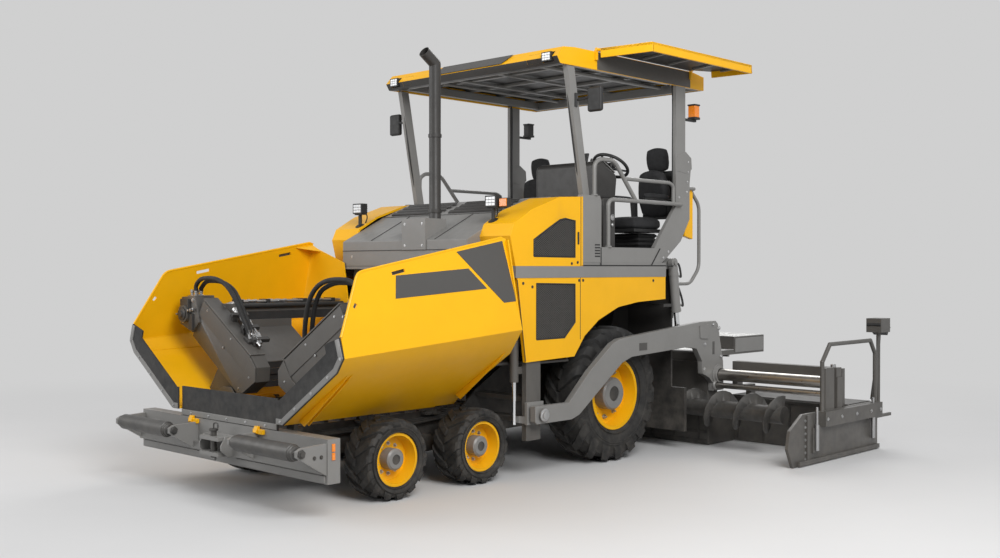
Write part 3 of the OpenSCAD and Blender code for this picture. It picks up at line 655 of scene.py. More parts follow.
strip_bolts = Shape()
for y, z in along(SKIRT, 232, 60, 25):
    strip_bolts.bolt((SKIRT_X + 20, y, z), AHEAD, 8, 8)
strip_bolts.twins("skirt_bolts", STEEL, 0, WING)
apron_bolts = Shape()
for k in range(-2, 3):
    apron_bolts.bolt((SKIRT_X - 5, k * 262, 617), AHEAD, 8, 8)
apron_bolts.piece("apron_bolts", STEEL)

# Label panels, edge lip, gussets and ribs of the wings
for name, points in (
    ("label_panel_long", [(2871, 1744), (2126, 1796), (1963, 1637), (2910, 1575)]),
    ("label_panel_short", [(2221, 1926), (1693, 2020), (1660, 1532), (1802, 1522)]),
):
    Shape().prism(on_side(points, 0.4), Vector((0, 1, LEAN)).normalized() * 2.2).twins(name, PLATE, 0, WING)
lip = [(SKIRT_X - 3, 1315), (3232, 1736), (3205, 1764), (3170, 1776), (1690, 2045)]
Shape().tube(rounded(on_side(lip, -7), 30), 11).twins("wing_edge_lip", YELLOW, 0, WING)
top_y = on_side([(1700, 2030)], -16)[0][1]
gusset = Shape().prism([(1665, top_y, 2028), (1665, 1150, 1966), (1850, top_y + 2, 2000)], (0, 0, -10))
gusset.twins("wing_corner_gusset", YELLOW, 2, WING)
RIB_FOOT, RIB_HEAD, RIB_T = 800, 1385, 10
ribs = Shape()
for x in (3330, 3290, 1730):
    lower = 641 + (SKIRT_X - x) / WING_LEN * 81
    low, high = (lower + (y - 775) * 0.661 for y in (RIB_FOOT, RIB_HEAD))
    rib = [(RIB_FOOT, low - 1), (RIB_HEAD, high - 1), (RIB_HEAD - 60, high - 62), (RIB_FOOT + 60, low - 34)]
    ribs.ahead(x, x + RIB_T, rib)
ribs.twins("wing_ribs", YELLOW, 2, WING)
bends = Shape()
for (y0, z0), (y1, z1) in (((1474, 1171), (1476, 1303)), ((1408, 1076), (1347, 1117))):
    bends.tube([(SKIRT_X - 6, y0, z0), (1668, y1, z1)], 6, 8)
bends.twins("wing_bends", YELLOW, 0, WING)

# Inclined arms: lid, end plates and drive head with fittings
ARM_X, ARM_FRONT, HEAD_FRONT = 2937, 3067, 3087
HEAD_TOP = 1540
dressed("wing_arm_{}", 6, (DARK, lambda c, n: c.x < 2890 and c.z < 1400))
lid = Shape().ahead(ARM_FRONT, ARM_FRONT + 6, [(236, 1070), (945, 1519), (1026, 1392), (318, 942)])
lid.ahead(ARM_X - 6, ARM_X + 140, [(231, 1077), (948, 1531), (941, 1541), (225, 1087)])
lid.twins("arm_lid", SCREED_GREY, 3, WING)
END_PLATE = [(163, 868), (340, 765), (425, 760), (440, 860), (330, 930), (232, 1066), (158, 982)]
end_plate = Shape().ahead(ARM_FRONT, ARM_FRONT + 12, END_PLATE)
end_plate.ahead(ARM_FRONT, ARM_FRONT + 8, [(455, 745), (705, 682), (800, 720), (640, 800), (520, 800)])
end_plate.twins("arm_end_plate", SCREED_GREY, 3, WING)
arm_bolts = Shape()
for x, r, h, places in (
    (ARM_FRONT + 12, 7, 7, ((250, 900), (400, 800))),
    (ARM_FRONT + 6, 7, 7, ((520, 1206), (880, 1434), (640, 1128))),
    (HEAD_FRONT, 13, 12, ((1115, 1290), (1255, 1335), (1240, 1505), (1090, 1520))),
):
    for y, z in places:
        arm_bolts.bolt((x, y, z), AHEAD, r, h)
arm_bolts.twins("arm_bolts", STEEL, 0, WING)
ports = Shape().box(2915, 3050, 1095, 1240, HEAD_TOP, HEAD_TOP + 20)
for x in (2978, 3030):
    for y in (1136, 1200):
        ports.knob([(20, 0), (20, 16), (14, 20), (14, 34), (18, 38), (18, 62)], (x, y, HEAD_TOP + 8), UP)
for y in (1060, 1100, 1290):
    ports.knob([(16, 0), (16, 28), (10, 32), (10, 50)], (HEAD_FRONT, y, 1440 - (y - 1060) * 0.2), AHEAD)
ports.twins("drive_ports", STEEL, 1.5, WING)
valves = Shape().knob([(58, 0), (58, 10), (30, 16), (30, 28)], (HEAD_FRONT + 40, 1200, 1400), AHEAD, 24)
valves.box(HEAD_FRONT, HEAD_FRONT + 28, 1130, 1260, 1440, 1530)
valves.box(HEAD_FRONT, HEAD_FRONT + 22, 1075, 1130, 1260, 1400)
valves.box(2900, 2940, 1005, 1060, 1335, HEAD_TOP)
valves.twins("drive_valves", DARK, 3, WING)

# Hoses and pipes on the arms, with their clamps
HOSE = (
    (3030, 1136, 1604), (3034, 1122, 1652), (3045, 1030, 1702), (3050, 900, 1713), (3050, 770, 1703),
    (3048, 650, 1664), (3042, 555, 1590), (3030, 485, 1490), (3014, 440, 1390), (2996, 405, 1310),
    (2985, 388, 1250),
)
HOSE_PITCH, HOSE_DROP, HOSE_R = 52, 24, 19
PIPE_TOP, PIPE_FOOT, PIPE_PITCH, PIPE_LIFT, PIPE_R = (2912, 720), (2962, 250), 32, 72, 11
ARM_RISE = 0.633
ARM_SLOPE = Matrix.Rotation(math.atan(ARM_RISE), 3, "X")
NUT = [(19, 0), (19, 32), (14, 36), (14, 75)]


def arm_top(y):
    """Height of an arm's upper edge."""
    return 1070 + (y - 236) * ARM_RISE


hoses, pipes, clamps = Shape(), Shape(), Shape()
for k in range(2):
    drop = HOSE_DROP * k
    path = [(x - HOSE_PITCH * k, y + drop * (z < 1600), z - drop * (z > 1640)) for x, y, z in HOSE]
    hoses.tube(curve(path), HOSE_R, 12)
    x, y, z = path[-1]
    pipes.knob(NUT, (x + 2, y + 6, z + 30), (-0.05, -0.25, -1))
for k in range(3):
    ends = (PIPE_TOP, (PIPE_FOOT[0], PIPE_FOOT[1] + 36 * k))
    start, end = (Vector((x - PIPE_PITCH * k, y, arm_top(y) + PIPE_LIFT)) for x, y in ends)
    pipes.tube([start, end], PIPE_R, 8)
    for share in (0.0, 0.40, 0.80):
        pipes.knob(NUT, start.lerp(end, share), end - start)
for y in (640, 480, 330):
    z = arm_top(y)
    clamps.box(2828, 2990, y - 20, y + 20, z + PIPE_LIFT - 17, z + PIPE_LIFT + 17, ARM_SLOPE)
    clamps.box(2946, 2986, y - 16, y + 16, z - 16, z + PIPE_LIFT)
clamps.box(2915, 3020, 345, 435, arm_top(385) - 20, arm_top(385) + 52, ARM_SLOPE)
hoses.twins("arm_hoses", RUBBER, 0, WING)
pipes.twins("arm_pipes", STEEL, 0, WING)
clamps.twins("pipe_clamps", DARK, 3, WING)

# Sloped cover behind each arm, with stepped plates hanging at its inner edge
COVER_BACK = 2290
cover = Shape().box(COVER_BACK, ARM_X - 1, 752, 802, 1270, 1350)
cover.prism([(ARM_X - 1, y, z) for y, z in ((340, 1015), (760, 1288), (760, 1280), (340, 1007))],
            (COVER_BACK - ARM_X + 1, 0, 0))
cover.twins("arm_covers", SCREED_GREY, 2, WING)
STEP_TOP, STEP_H = 1008, 52
steps = Shape()
for k in range(4):
    y = 344 - 14 * (k % 2)
    steps.box(COVER_BACK + 10, 2930, y, y + 18, STEP_TOP - STEP_H * (k + 1), STEP_TOP - STEP_H * k)
steps.twins("arm_cover_steps", BLACK, 4, WING)

# Pipes along the beam over the wing
BEAM_BACK, BEAM_TOP = 1680, 1506
BEAM_NUT = [(19, 0), (19, 30), (15, 34), (15, 60), (19, 64), (19, 90)]
beam_pipes = Shape()
for k, y in enumerate((822, 862, 902)):
    path = [(BEAM_BACK + 10, y, BEAM_TOP), (2840 - 30 * k, y, BEAM_TOP), (2900, y + 20, BEAM_TOP - 36)]
    beam_pipes.tube(rounded(path, 50), 12)
    for x in (1900 + 90 * k, 2300 + 60 * k, 2620 + 40 * k):
        beam_pipes.knob(BEAM_NUT, (x, y, BEAM_TOP), AHEAD)
beam_pipes.twins("beam_pipes", STEEL, 0, WING)
beam_clamps = Shape().tube([(BEAM_BACK + 10, 778, 1470), (2820, 778, 1470)], 20, 12)
for x in (1760, 2080, 2480, 2760):
    beam_clamps.box(x, x + 40, 803, 927, BEAM_TOP - 18, BEAM_TOP + 18)
for y in (796, 929):
    beam_clamps.box(BEAM_BACK, 2800, y, y + 5, 1350, 1420)
beam_clamps.twins("beam_clamps", BLACK, 2, WING)

# Push beam, rollers and coupling
dressed("push_beam", 5)
BEAM_FACE, PIN_X = 3452, 3565
ROLLER_X, ROLLER_Z, ROLLER_Y, ROLLER_LEN = 3672, 510, 445, 800
ROLLER_END = [(22.2, 0), (40, 0), (40, 14), (50, 18), (50, 40), (56, 44), (56, 58), (62.4, 62)]
roller = ROLLER_END + [(r, ROLLER_LEN - a) for r, a in reversed(ROLLER_END)]
drum = Shape().lathe(roller, (ROLLER_X, ROLLER_Y, ROLLER_Z), OUT, 56)
drum.twins("roller_drum", IRON, 0, "push_roller_{}", None, 25, "roller_{}")
fittings = Shape()
for y, out in ((ROLLER_Y - 35, -1), (ROLLER_Y + ROLLER_LEN + 35, 1)):
    fittings.knob([(34, 0), (34, 8), (22, 12), (22, 22)], (ROLLER_X, y, ROLLER_Z), OUT * out)
for x in (3500, 3560):
    fittings.bolt((x, ROLLER_Y + ROLLER_LEN + 35, 470), OUT, 10, 10)
fittings.both()
fittings.rod((PIN_X, 0, 332), (PIN_X, 0, 540), 23.5, 20)
fittings.rod((PIN_X, 0, 540), (PIN_X, 0, 556), 36, 20)
fittings.tube(rounded([(PIN_X, 0, 556), (PIN_X, 0, 600), (PIN_X, 60, 600), (PIN_X, 60, 566)], 20), 6, 8)
fittings.piece("beam_fittings", IRON)
guards = Shape().box(BEAM_FACE, BEAM_FACE + 12, 150, 1268, 282, 330)
CHEEK = [(BEAM_FACE, 345), (BEAM_FACE, 505), (3560, 505), (3600, 440), (3600, 400), (3540, 345)]
guards.across(145, 157, CHEEK)
guards.both().piece("beam_guards", GREY, 3)
hooks = Shape()
for y in (-525, 395):
    hooks.box(BEAM_FACE - 1.5, 3476, y, y + 130, 548, 584)
    hooks.across(y + 20, y + 65, [(BEAM_FACE, 584), (BEAM_FACE, 606), (3474, 606), (3490, 560), (3476, 548)])
hooks.piece("apron_hooks", YELLOW, 3)
reflectors = Shape()
for z0, z1 in ((500, 556), (440, 492)):
    reflectors.box(3388, 3416, 1290, 1297, z0, z1)
# The amber lens material glows faintly, so these reflectors carry a painted glow that stands in for reflected
# light.
reflectors.both().piece("beam_reflectors", AMBER, 2)

# Hood: seams, latches and louvres
dressed("engine_hood", 7)
HOOD = [(1640, 2045), (1150, 2290), (836, 2417), (560, 2450)]
HOOD_FRONT, HOOD_BREAK, HOOD_HALF = 1641, 1152, 836


def hood_z(x):
    """Height of the hood's top line."""
    for (x0, z0), (x1, z1) in zip(HOOD, HOOD[1:]):
        if x1 <= x <= x0:
            return z0 + (z1 - z0) * (x - x0) / (x1 - x0)


seams = Shape()
for y in (-430, 430):
    seams.tube([(x, y, hood_z(x) + 1) for x in (1632, 1500, 1300, HOOD_BREAK)], 4.5, 6)
for x, z, r in ((HOOD_FRONT, 1960, 4), (HOOD_BREAK, hood_z(HOOD_BREAK) + 1, 4.5)):
    seams.tube([(x, -HOOD_HALF, z), (x, HOOD_HALF, z)], r, 6)
seams.piece("hood_seams", DARK)
louvres = Shape()
for x in (880 + 70 * k for k in range(4)):
    louvre = ((28, 1), (30, 16), (-6, 22), (-6, 16), (24, 10))
    louvres.across(60, 740, [(x + dx, hood_z(x + dx) + dz) for dx, dz in louvre])
louvres.both().piece("hood_louvres", DARK, 1)
latches = Shape()
for y in (-700, 620):
    latches.bolt((HOOD_FRONT - 1, y, 1905), AHEAD, 9, 6)
for y in (60, 290):
    for z in (2000, 2190):
        latches.bolt((1652, y, z), AHEAD, 8, 6)
latches.piece("hood_latches", STEEL)

# Exhaust with its clamps
dressed("exhaust_stack", 2, (DARK, lambda c, n: c.z > 2240))
exhaust_clamps = Shape()
for z in (2290, 2960):
    exhaust_clamps.lathe([(52.5, 0), (60, 0), (60, 30), (52.5, 30)], (1470, 260, z), UP, 32)
exhaust_clamps.piece("exhaust_clamps", DARK, 1)

# Flanks: panel seams, grilles, locks
FLANK = 1200
GRILLES = {
    "low": [(1162, 1189), (1162, 1668), (654, 1657), (654, 1321), (797, 1191)],
    "top": [(1196, 1900), (1196, 2041), (1005, 2144), (857, 2220), (787, 2233), (654, 2219), (654, 1896)],
}
MESH_PITCH, MESH_RUN, WIRE_R = 30.0, 1.6, 2.6


def in_grille(c, n):
    """Faces of the flanks that lie in the grille pockets."""
    return abs(c.y) < FLANK - 1.5 and 650 < c.x < 1200 and (1185 < c.z < 1672 or 1892 < c.z < 2237)


def clip(p, q, outline):
    """Part of a line inside a convex outline, or None."""
    low, high = 0.0, 1.0
    sides = list(zip(outline, outline[1:] + outline[:1]))
    way = 1 if sum(a[0] * b[1] - b[0] * a[1] for a, b in sides) > 0 else -1
    for a, b in sides:
        nx, nz = (a[1] - b[1]) * way, (b[0] - a[0]) * way
        dp, dq = ((x - a[0]) * nx + (z - a[1]) * nz for x, z in (p, q))
        if dp <= 0 and dq <= 0:
            return None
        if dp * dq < 0:
            t = dp / (dp - dq)
            low, high = (max(low, t), high) if dp < 0 else (low, min(high, t))
    if high <= low:
        return None
    return [(p[0] + (q[0] - p[0]) * t, p[1] + (q[1] - p[1]) * t) for t in (low, high)]


dressed("body_panels", 6, (BLACK, in_grille))
for name, outline in GRILLES.items():
    left, right = (pick(x for x, z in outline) for pick in (min, max))
    bottom, top = (pick(z for x, z in outline) for pick in (min, max))
    run = (top - bottom) * MESH_RUN
    mesh = Shape()
    for k in range(int((right - left + run) / MESH_PITCH) + 1):
        for x, way in ((left - run + k * MESH_PITCH, 1), (left + k * MESH_PITCH, -1)):
            wire = clip((x, bottom), (x + way * run, top), outline)
            if wire:
                mesh.tube([(x, FLANK - 5, z) for x, z in wire], WIRE_R, 4, False)
    mesh.twins(f"grille_mesh_{name}", SCREED_GREY, 0, CHASSIS, "black", 60)
    back = Shape().across(FLANK - 15.5, FLANK - 13.5, outline)
    back.tube([(x, FLANK - 4, z) for x, z in outline + outline[:1]], 9, 6)
    back.twins(f"grille_back_{name}", BLACK)
flank_seams = Shape()
for path in ([(583, 1716), (583, 1166)], [(1402, 1702), (1298, 1012)], [(575, 1817), (575, 2434)]):
    flank_seams.tube([(x, FLANK, z) for x, z in path], 3.5, 6)
flank_seams.twins("flank_seams", DARK)
locks = Shape()
for x, z in ((1330, 1670), (600, 1690), (545, 1690), (-500, 1680), (1215, 1640), (620, 1850), (700, 1840)):
    locks.knob([(13, 0), (13, 3), (8, 4), (8, 7)], (x, FLANK, z), OUT, 20)
locks.twins("flank_locks", DARK)
Shape().box(602, 622, FLANK - 2, FLANK + 8, 2010, 2120).twins("flank_handle", BLACK, 4)

# Deck with its cabinet, and the canopy's posts
DECK_Z, BAND_Y = 1850, 1195
SEAM_Z = 1822
dressed("canopy_posts", 6)
vents = Shape()
for z in (1900 + 26 * k for k in range(5)):
    vents.box(300, 372, BAND_Y - 2, BAND_Y + 2, z, z + 12)
vents.both().piece("deck_side_vents", BLACK)
deck_seams = Shape()
for path in ([(565, SEAM_Z), (-840, SEAM_Z)], [(285, SEAM_Z), (285, 1986)], [(-617, 1986), (-476, SEAM_Z)]):
    deck_seams.tube([(x, BAND_Y, z) for x, z in path], 6, 6)
deck_seams.both().piece("deck_seams", BLACK)
CABINET_FACE = 1040
Shape().box(-120, 60, 762, CABINET_FACE, DECK_Z + 2, 2452).piece("side_cabinet", DARK, 12)
dials = Shape()
for z, r in ((2275, 30), (2205, 18)):
    dials.knob([(r, 0), (r, 12), (r * 0.7, 16), (r * 0.6, 8)], (-66, CABINET_FACE, z), OUT, 24)
dials.piece("cabinet_dials", STEEL)
REAR_POST_BOLTS = (
    (-1150, 2860), (-1150, 2760), (-1140, 2660), (-1130, 2560), (-1000, 2500), (-820, 1960), (-740, 1900),
)
post_bolts = Shape()
for y, places in ((1148, REAR_POST_BOLTS), (1138, ((425, 2420), (425, 2380)))):
    for x, z in places:
        post_bolts.bolt((x, y, z), OUT, 9, 7)
post_bolts.both().piece("post_bolts", STEEL)
POST_HINGE = [(-955, 2905), (-1110, 2960), (-1205, 2900), (-1215, 2790), (-1110, 2740), (-955, 2760)]
Shape().across(1106, 1152, POST_HINGE).both().piece("post_hinges", GREY, 5)
POST_COVER = [(-1150, 2120), (-1290, 2090), (-1290, 2560), (-1262, 2600), (-1150, 2600)]
Shape().across(1062, 1111, POST_COVER).both().piece("post_covers", YELLOW, 6)

# Handrails and ladders
RAIL_Y, LADDER_IN, LADDER_OUT = 1175, 620, 1000
STEPS_Z, STEP_T = (1320, 1480), 24
rails = Shape()
for r, y, points, end in (
    (20, RAIL_Y, [(157, 1988), (157, 2430), (-1000, 2430)], [(-1000, 1146, 2430)]),
    (20, RAIL_Y, [(359, 2450), (359, 2740), (284, 2790), (70, 2790), (-260, 2432)], []),
    (18, RAIL_Y, [(-78, 2631), (-800, 2631), (-860, 2600), (-860, 2432)], []),
    (18, LADDER_OUT, [(-985, 1640), (-1400, 1640), (-1560, 1800), (-1560, 2450), (-1400, 2600)],
     [(-1300, 1129, 2600), (-1176, 1129, 2600)]),
    (18, LADDER_OUT, [(-1150, 1640), (-1080, 1300)], []),
    (18, LADDER_IN, [(-1080, 1300), (-1150, 1640), (-985, 1640)], []),
):
    rails.tube(rounded([(x, y, z) for x, z in points] + end, 70, 6), r, 14)
rails.tube([(-1150, LADDER_IN, 1640), (-1150, LADDER_OUT, 1640)], 17, 14)
treads = Shape()
for z in STEPS_Z:
    rails.box(-1200, -1080, LADDER_IN, LADDER_OUT, z, z + STEP_T)
    for y in (650 + 40 * k for k in range(9)):
        treads.box(-1196, -1084, y - 8, y + 8, z + STEP_T, z + STEP_T + 5)
for x, z in ((157, 1990), (359, 2455)):
    rails.knob([(34, 0), (34, 10), (21, 16)], (x, RAIL_Y, z), UP, 20)
rails.twins("rail_tubes", GREY, node="handrails_{}")
treads.both().piece("ladder_treads", STEEL, 1)

# Console with its covers, wheel and levers
CONSOLE = [(-330, 2450), (-360, 2700), (-120, 2830), (-20, 2800), (-20, 2450)]
WHEEL_AT, WHEEL_TURN, WHEEL_R = Vector((-430, 740, 2800)), spun(-35, "Y"), 175
DESK_RISE = 130 / 240
DESK_TURN = Matrix.Rotation(-math.atan(DESK_RISE), 3, "Y")
console = Shape().across(100, 890, CONSOLE).box(-230, -60, 350, 750, DECK_Z, 2451)
console.piece("console_shell", DARK, 45, slot="black", node="console")


def on_wheel(degrees, r, z):
    """A point on the steering wheel, from its middle."""
    angle = math.radians(degrees)
    return WHEEL_AT + WHEEL_TURN @ Vector((r * math.cos(angle), r * math.sin(angle), z))


steering = Shape().tube([on_wheel(7.5 * k, WHEEL_R, 0) for k in range(49)], 16, 12, False)
for angle in (0, 120, 240):
    spoke = [on_wheel(angle, r, -10 - 20 * (1 - r / WHEEL_R)) for r in (20, 60, 110, 170)]
    steering.tube(spoke, (16, 13, 10, 9), 8)
HUB = [(TIP, -120), (22, -120), (22, -30), (45, -20), (45, 4), (36, 12), (TIP, 14)]
steering.lathe(HUB, WHEEL_AT, WHEEL_TURN @ UP, 28)
steering.tube(curve([(-318, 740, 2600), (-360, 740, 2655), (-408, 740, 2718)], 5), 30, 14)
steering.piece("steering_wheel", BLACK, node="console")
desk = Shape().box(-336, -326, 180, 520, 2500, 2680)
for y in (290, 720):
    desk.box(-349, -139, y - 150, y + 150, 2767, 2778, DESK_TURN, (-244, y, 2771))
desk.piece("console_panels", GREY, 6)
KNOB = [(TIP, 0), (11, 0), (11, 10), (8, 16), (TIP, 17)]
LEVER_HEAD = [(TIP, 0), (14, 4), (19, 20), (14, 40), (TIP, 46)]
knobs = Shape()
for k in range(6):
    for run in (0, 62, 124):
        place = Vector((-310 + run, 165 + 45 * k, 2738 + run * DESK_RISE))
        knobs.lathe(KNOB, place + DESK_TURN @ UP * 4, DESK_TURN @ UP, 14)
for y in (600, 840):
    knobs.tube([(-300, y, 2745), (-310, y, 2835)], 7, 8)
    knobs.lathe(LEVER_HEAD, (-310, y, 2830), UP, 16)
knobs.piece("console_knobs", DARK)
display = Shape().box(-305, -285, 420, 560, 2820, 2930, spun(-18, "Y"))
display.tube([(-250, 490, 2780), (-285, 490, 2840)], 12)
display.piece("console_display", BLACK, 6)

# Seats: cloth pads on a ribbed suspension
SEAT_Y = 800
PAD_ROUND, PAD_CUTS, GROOVE_DEPTH, PAD_FILL = 0.30, 13, 10, 0.8
SETTLE_STEPS, PRESSURE, SWELL_CAP = 16, 4.0, 0.012
BACK_TURN, HEAD_TURN = spun(-77.5, "Y"), spun(-82, "Y")


def swell(thing):
    """Lets the cushion's cover puff out under pressure, and keeps the settled shape."""
    start = [v.co.copy() for v in thing.data.vertices]
    cloth = thing.modifiers.new("cloth", "CLOTH")
    cloth.settings.use_pressure = True
    cloth.settings.uniform_pressure_force = PRESSURE
    cloth.settings.effector_weights.gravity = 0.0
    cloth.settings.quality = 5
    cloth.point_cache.frame_start = 1
    cloth.point_cache.frame_end = SETTLE_STEPS
    for step in range(1, SETTLE_STEPS + 1):
        SCENE.frame_set(step)
    ready = thing.evaluated_get(bpy.context.evaluated_depsgraph_get())
    moved = [v.co.copy() for v in ready.data.vertices]
    thing.modifiers.remove(cloth)
    SCENE.frame_set(1)
    for vertex, a, b in zip(thing.data.vertices, start, moved):
        step = b - a
        vertex.co = a + (step if step.length < SWELL_CAP else step.normalized() * SWELL_CAP)


def pad(name, middle, half, bulge, turn=None, taper=0.0, grooves=()):
    """A crowned cushion with pinched edges and sewn channels, each an axis, a place and a width."""
    work = bmesh.new()
    bmesh.ops.create_cube(work, size=1.0)
    bmesh.ops.subdivide_edges(work, edges=work.edges, cuts=PAD_CUTS, use_grid_fill=True)
    for v in work.verts:
        x, y, z = (2 * c for c in v.co)
        edge = 1 - 0.12 * abs(z) ** 4
        point = Vector((
            x * half[0] * edge * math.sqrt(1 - PAD_ROUND * y * y),
            y * half[1] * edge * math.sqrt(1 - PAD_ROUND * x * x) * (1 - taper * (x + 1) / 2),
            z * half[2] * 0.86,
        ))
        if z > 0:
            point.z += bulge * (1 - abs(x) ** 2.6) * (1 - abs(y) ** 2.6) * z
            for axis, place, width in grooves:
                point.z -= GROOVE_DEPTH * math.exp(-(((x, y)[axis] - place) / width) ** 2) * z
        v.co = at(*(Vector(middle) + (point if turn is None else turn @ point)))
    data = bpy.data.meshes.new(name)
    work.to_mesh(data)
    work.free()
    data.shade_smooth()
    data.materials.append(SEAT)
    thing = linked(bpy.data.objects.new(name, data))
    swell(thing)
    soft = thing.modifiers.new("soft", "SUBSURF")
    soft.levels = soft.render_levels = 1
    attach(thing, CHASSIS)


CUSHION_GROOVES = ((1, -0.62, 0.05), (1, 0.62, 0.05), (0, 0.25, 0.05))
BACK_GROOVES = ((1, -0.6, 0.05), (1, 0.6, 0.05), (0, -0.2, 0.04), (0, 0.35, 0.04))
for side, s in SIDES:
    y = s * SEAT_Y
    pad(f"seat_cushion_{side}", (-703.5, y, 2234), (271.5, 218, 54), 16, None, 0.0, CUSHION_GROOVES)
    pad(f"seat_back_{side}", (-1060, y, 2552), (252, 212, 50), 16, BACK_TURN, 0.16, BACK_GROOVES)
    pad(f"seat_head_{side}", (-1116, y, 2898), (122, 128, 42), 10, HEAD_TURN)
    for arm in (570, 1030):
        pad(f"seat_arm_{side}_{arm}", (-780, s * arm, 2506), (205, 22, 22), 2)
seat = Shape().box(-900, -560, SEAT_Y - 180, SEAT_Y + 180, DECK_Z, 1900)
seat.box(-1000, -445, SEAT_Y - 215, SEAT_Y + 215, 2150, 2182)
SEAT_SHELL = [(-1088, 2290), (-1104, 2300), (-1186, 2770), (-1172, 2790), (-1160, 2780)]
seat.across(SEAT_Y - 175, SEAT_Y + 175, SEAT_SHELL)
for y in (545, 1005):
    seat.across(y, y + 50, [(-1060, 2290), (-1010, 2290), (-985, 2480), (-985, 2486), (-1052, 2486)])
    seat.box(-1000, -575, y + 8, y + 42, 2470, 2486)
for y in (SEAT_Y - 60, SEAT_Y + 60):
    seat.tube([(-1117, y, 2770), (-1128, y, 2860)], 8)
seat.twins("seat_frame", BLACK, 6, node="seats")
BELLOWS_X, BELLOWS_FOOT, FOLD_H, FOLD_OUT = (-868, -592), 1898, 22, 22
rings = []
for k in range(12):
    grow = 0 if k % 2 else FOLD_OUT
    x0, x1 = BELLOWS_X[0] - grow, BELLOWS_X[1] + grow
    y0, y1 = SEAT_Y - 148 - grow, SEAT_Y + 148 + grow
    rings.append([(x, y, BELLOWS_FOOT + FOLD_H * k) for x, y in ((x0, y0), (x1, y0), (x1, y1), (x0, y1))])
bellows = Shape()
for lower, upper in zip(rings, rings[1:]):
    bellows.add(lower + upper, [(i, (i + 1) % 4, 4 + (i + 1) % 4, 4 + i) for i in range(4)])
bellows.twins("seat_bellows", RUBBER, 8, smooth=25)

# Canopy: undersides painted dark as painted shade, with a frame, front panel, flaps with ribs and rims
ROOF_Z = 3600
ROOF_BACK, ROOF_FRONT, FRAME_HALF = -1380, 730, 1100
HINGE_Y, HINGE_Z, FLAP_TURN = 1172, 3780, spun(5, "X")
# Faces of the roof that point down are painted dark: painted shade under the roof.
dressed("canopy_roof", 8, (DARK, lambda c, n: n.z < -0.5 and abs(c.y) < 1130))
# Faces of the flaps that point down are painted dark: painted shade under the flaps.
dressed("flap_{}", 4, (DARK, lambda c, n: n.z < -0.5))
roof_frame = Shape()
roof_frame.box(ROOF_BACK, ROOF_FRONT, 1040, FRAME_HALF, ROOF_Z + 12, ROOF_Z + 90)
roof_frame.tube([(690, 700, 3660), (-1300, 700, 3660)], 16)
roof_frame.both()
for x in (-1250, -780, -300, 180, 620):
    roof_frame.box(x, x + 50, -1120, 1120, ROOF_Z + 90, ROOF_Z + 119)
for y in (-560, 0, 560):
    roof_frame.box(ROOF_BACK, ROOF_FRONT, y - 20, y + 20, ROOF_Z + 76, ROOF_Z + 100)
for x0, x1 in ((690, 738), (-1390, -1340)):
    roof_frame.box(x0, x1, -FRAME_HALF, FRAME_HALF, ROOF_Z + 4, ROOF_Z + 90)
roof_frame.piece("canopy_frame", GREY, 4)
flap_ribs = Shape().tube([(30, 400, -20), (-1560, 400, -20)], 12, 8)
FLAP_RIBS = {100: (60, 330), -300: (60, 410), -700: (60, 410), -1100: (60, 410), -1440: (120, 400)}
for x, reach in FLAP_RIBS.items():
    flap_ribs.box(x - 14, x + 14, *reach, -30, -12)
flap_ribs.placed(FLAP_TURN, (0, HINGE_Y, HINGE_Z)).twins("flap_ribs", GREY, 2, FLAP)
RIM_LOW, RIM_HIGH, RIM_T = -75, 13, 20
flap_rim = Shape()
for (x0, y0), (x1, y1), (dx, dy) in (
    ((290, 14), (60, 430), (-RIM_T, 0)),
    ((60, 430), (-1600, 430), (0, -RIM_T)),
    ((-1600, 430), (-1400, 90), (RIM_T, 0)),
):
    outline = ((x0, y0), (x1, y1), (x1 + dx, y1 + dy), (x0 + dx, y0 + dy))
    flap_rim.prism([(x, y, RIM_LOW) for x, y in outline], (0, 0, RIM_HIGH - RIM_LOW))
flap_rim.placed(FLAP_TURN, (0, HINGE_Y, HINGE_Z)).twins("flap_rim", YELLOW, 4, FLAP)
side_covers = Shape().box(-1180, 288, 1150.3, 1153, ROOF_Z + 3, ROOF_Z + 158).both()
side_covers.piece("canopy_side_covers", SCREED_GREY)
front_panel = [(841, -455, 3668), (841, 470, 3668), (775, 560, 3746), (775, -360, 3746)]
Shape().prism(front_panel, (4, 0, 3.5)).piece("canopy_front_panel", PLATE, 1)
cables = Shape().tube(curve([(455, 1100, 2470), (560, 1098, 2900), (668, 1096, 3560)], 6), 8, 8)
rear_cable = [(-960, 1100, 2300), (-958, 1100, 2900), (-958, 1098, 3560), (-900, 1085, 3612)]
cables.tube(curve(rear_cable, 6), 11, 8).both().piece("post_cables", BLACK)

# Mirrors
MIRROR_Z = ROOF_Z - 300
mirror_arm = [(570, 1138, MIRROR_Z), (570, 1240, MIRROR_Z), (548, 1325, MIRROR_Z + 40)]
mirror_arms = Shape().tube(rounded(mirror_arm, 40), 12)
mirror_arms.tube([(575, 1138, MIRROR_Z - 60), (575, 1138, MIRROR_Z + 60)], 18)
mirror_arms.both().piece("mirror_arms", BLACK, node="mirrors")
Shape().box(520, 570, 1260, 1420, MIRROR_Z - 120, MIRROR_Z + 100).twins("mirror_housing", BLACK, 22)
Shape().box(517, 520.5, 1276, 1404, MIRROR_Z - 104, MIRROR_Z + 84).twins("mirror_glass", MIRROR, 1)

# Lamps, indicators and beacon
cases, cells = Shape(), Shape()


def add_lamp(x0, x1, y0, y1, z0, z1):
    """A square work lamp facing ahead: ribbed case and nine lens cells."""
    wide, tall = y1 - y0, z1 - z0
    cases.box(x0, x1, y0, y1, z0, z1)
    for z in (z0 + tall * (0.15 + 0.2 * k) for k in range(4)):
        cases.box(x0 - 22, x0 + 4, y0 + 0.15 * wide, y1 - 0.15 * wide, z, z + 0.05 * tall)
    for y in (y0 + wide * (0.11 + 0.27 * k) for k in range(3)):
        for z in (z0 + tall * (0.11 + 0.27 * k) for k in range(3)):
            cells.box(x1 - 4, x1 + 5, y, y + 0.24 * wide, z, z + 0.24 * tall)


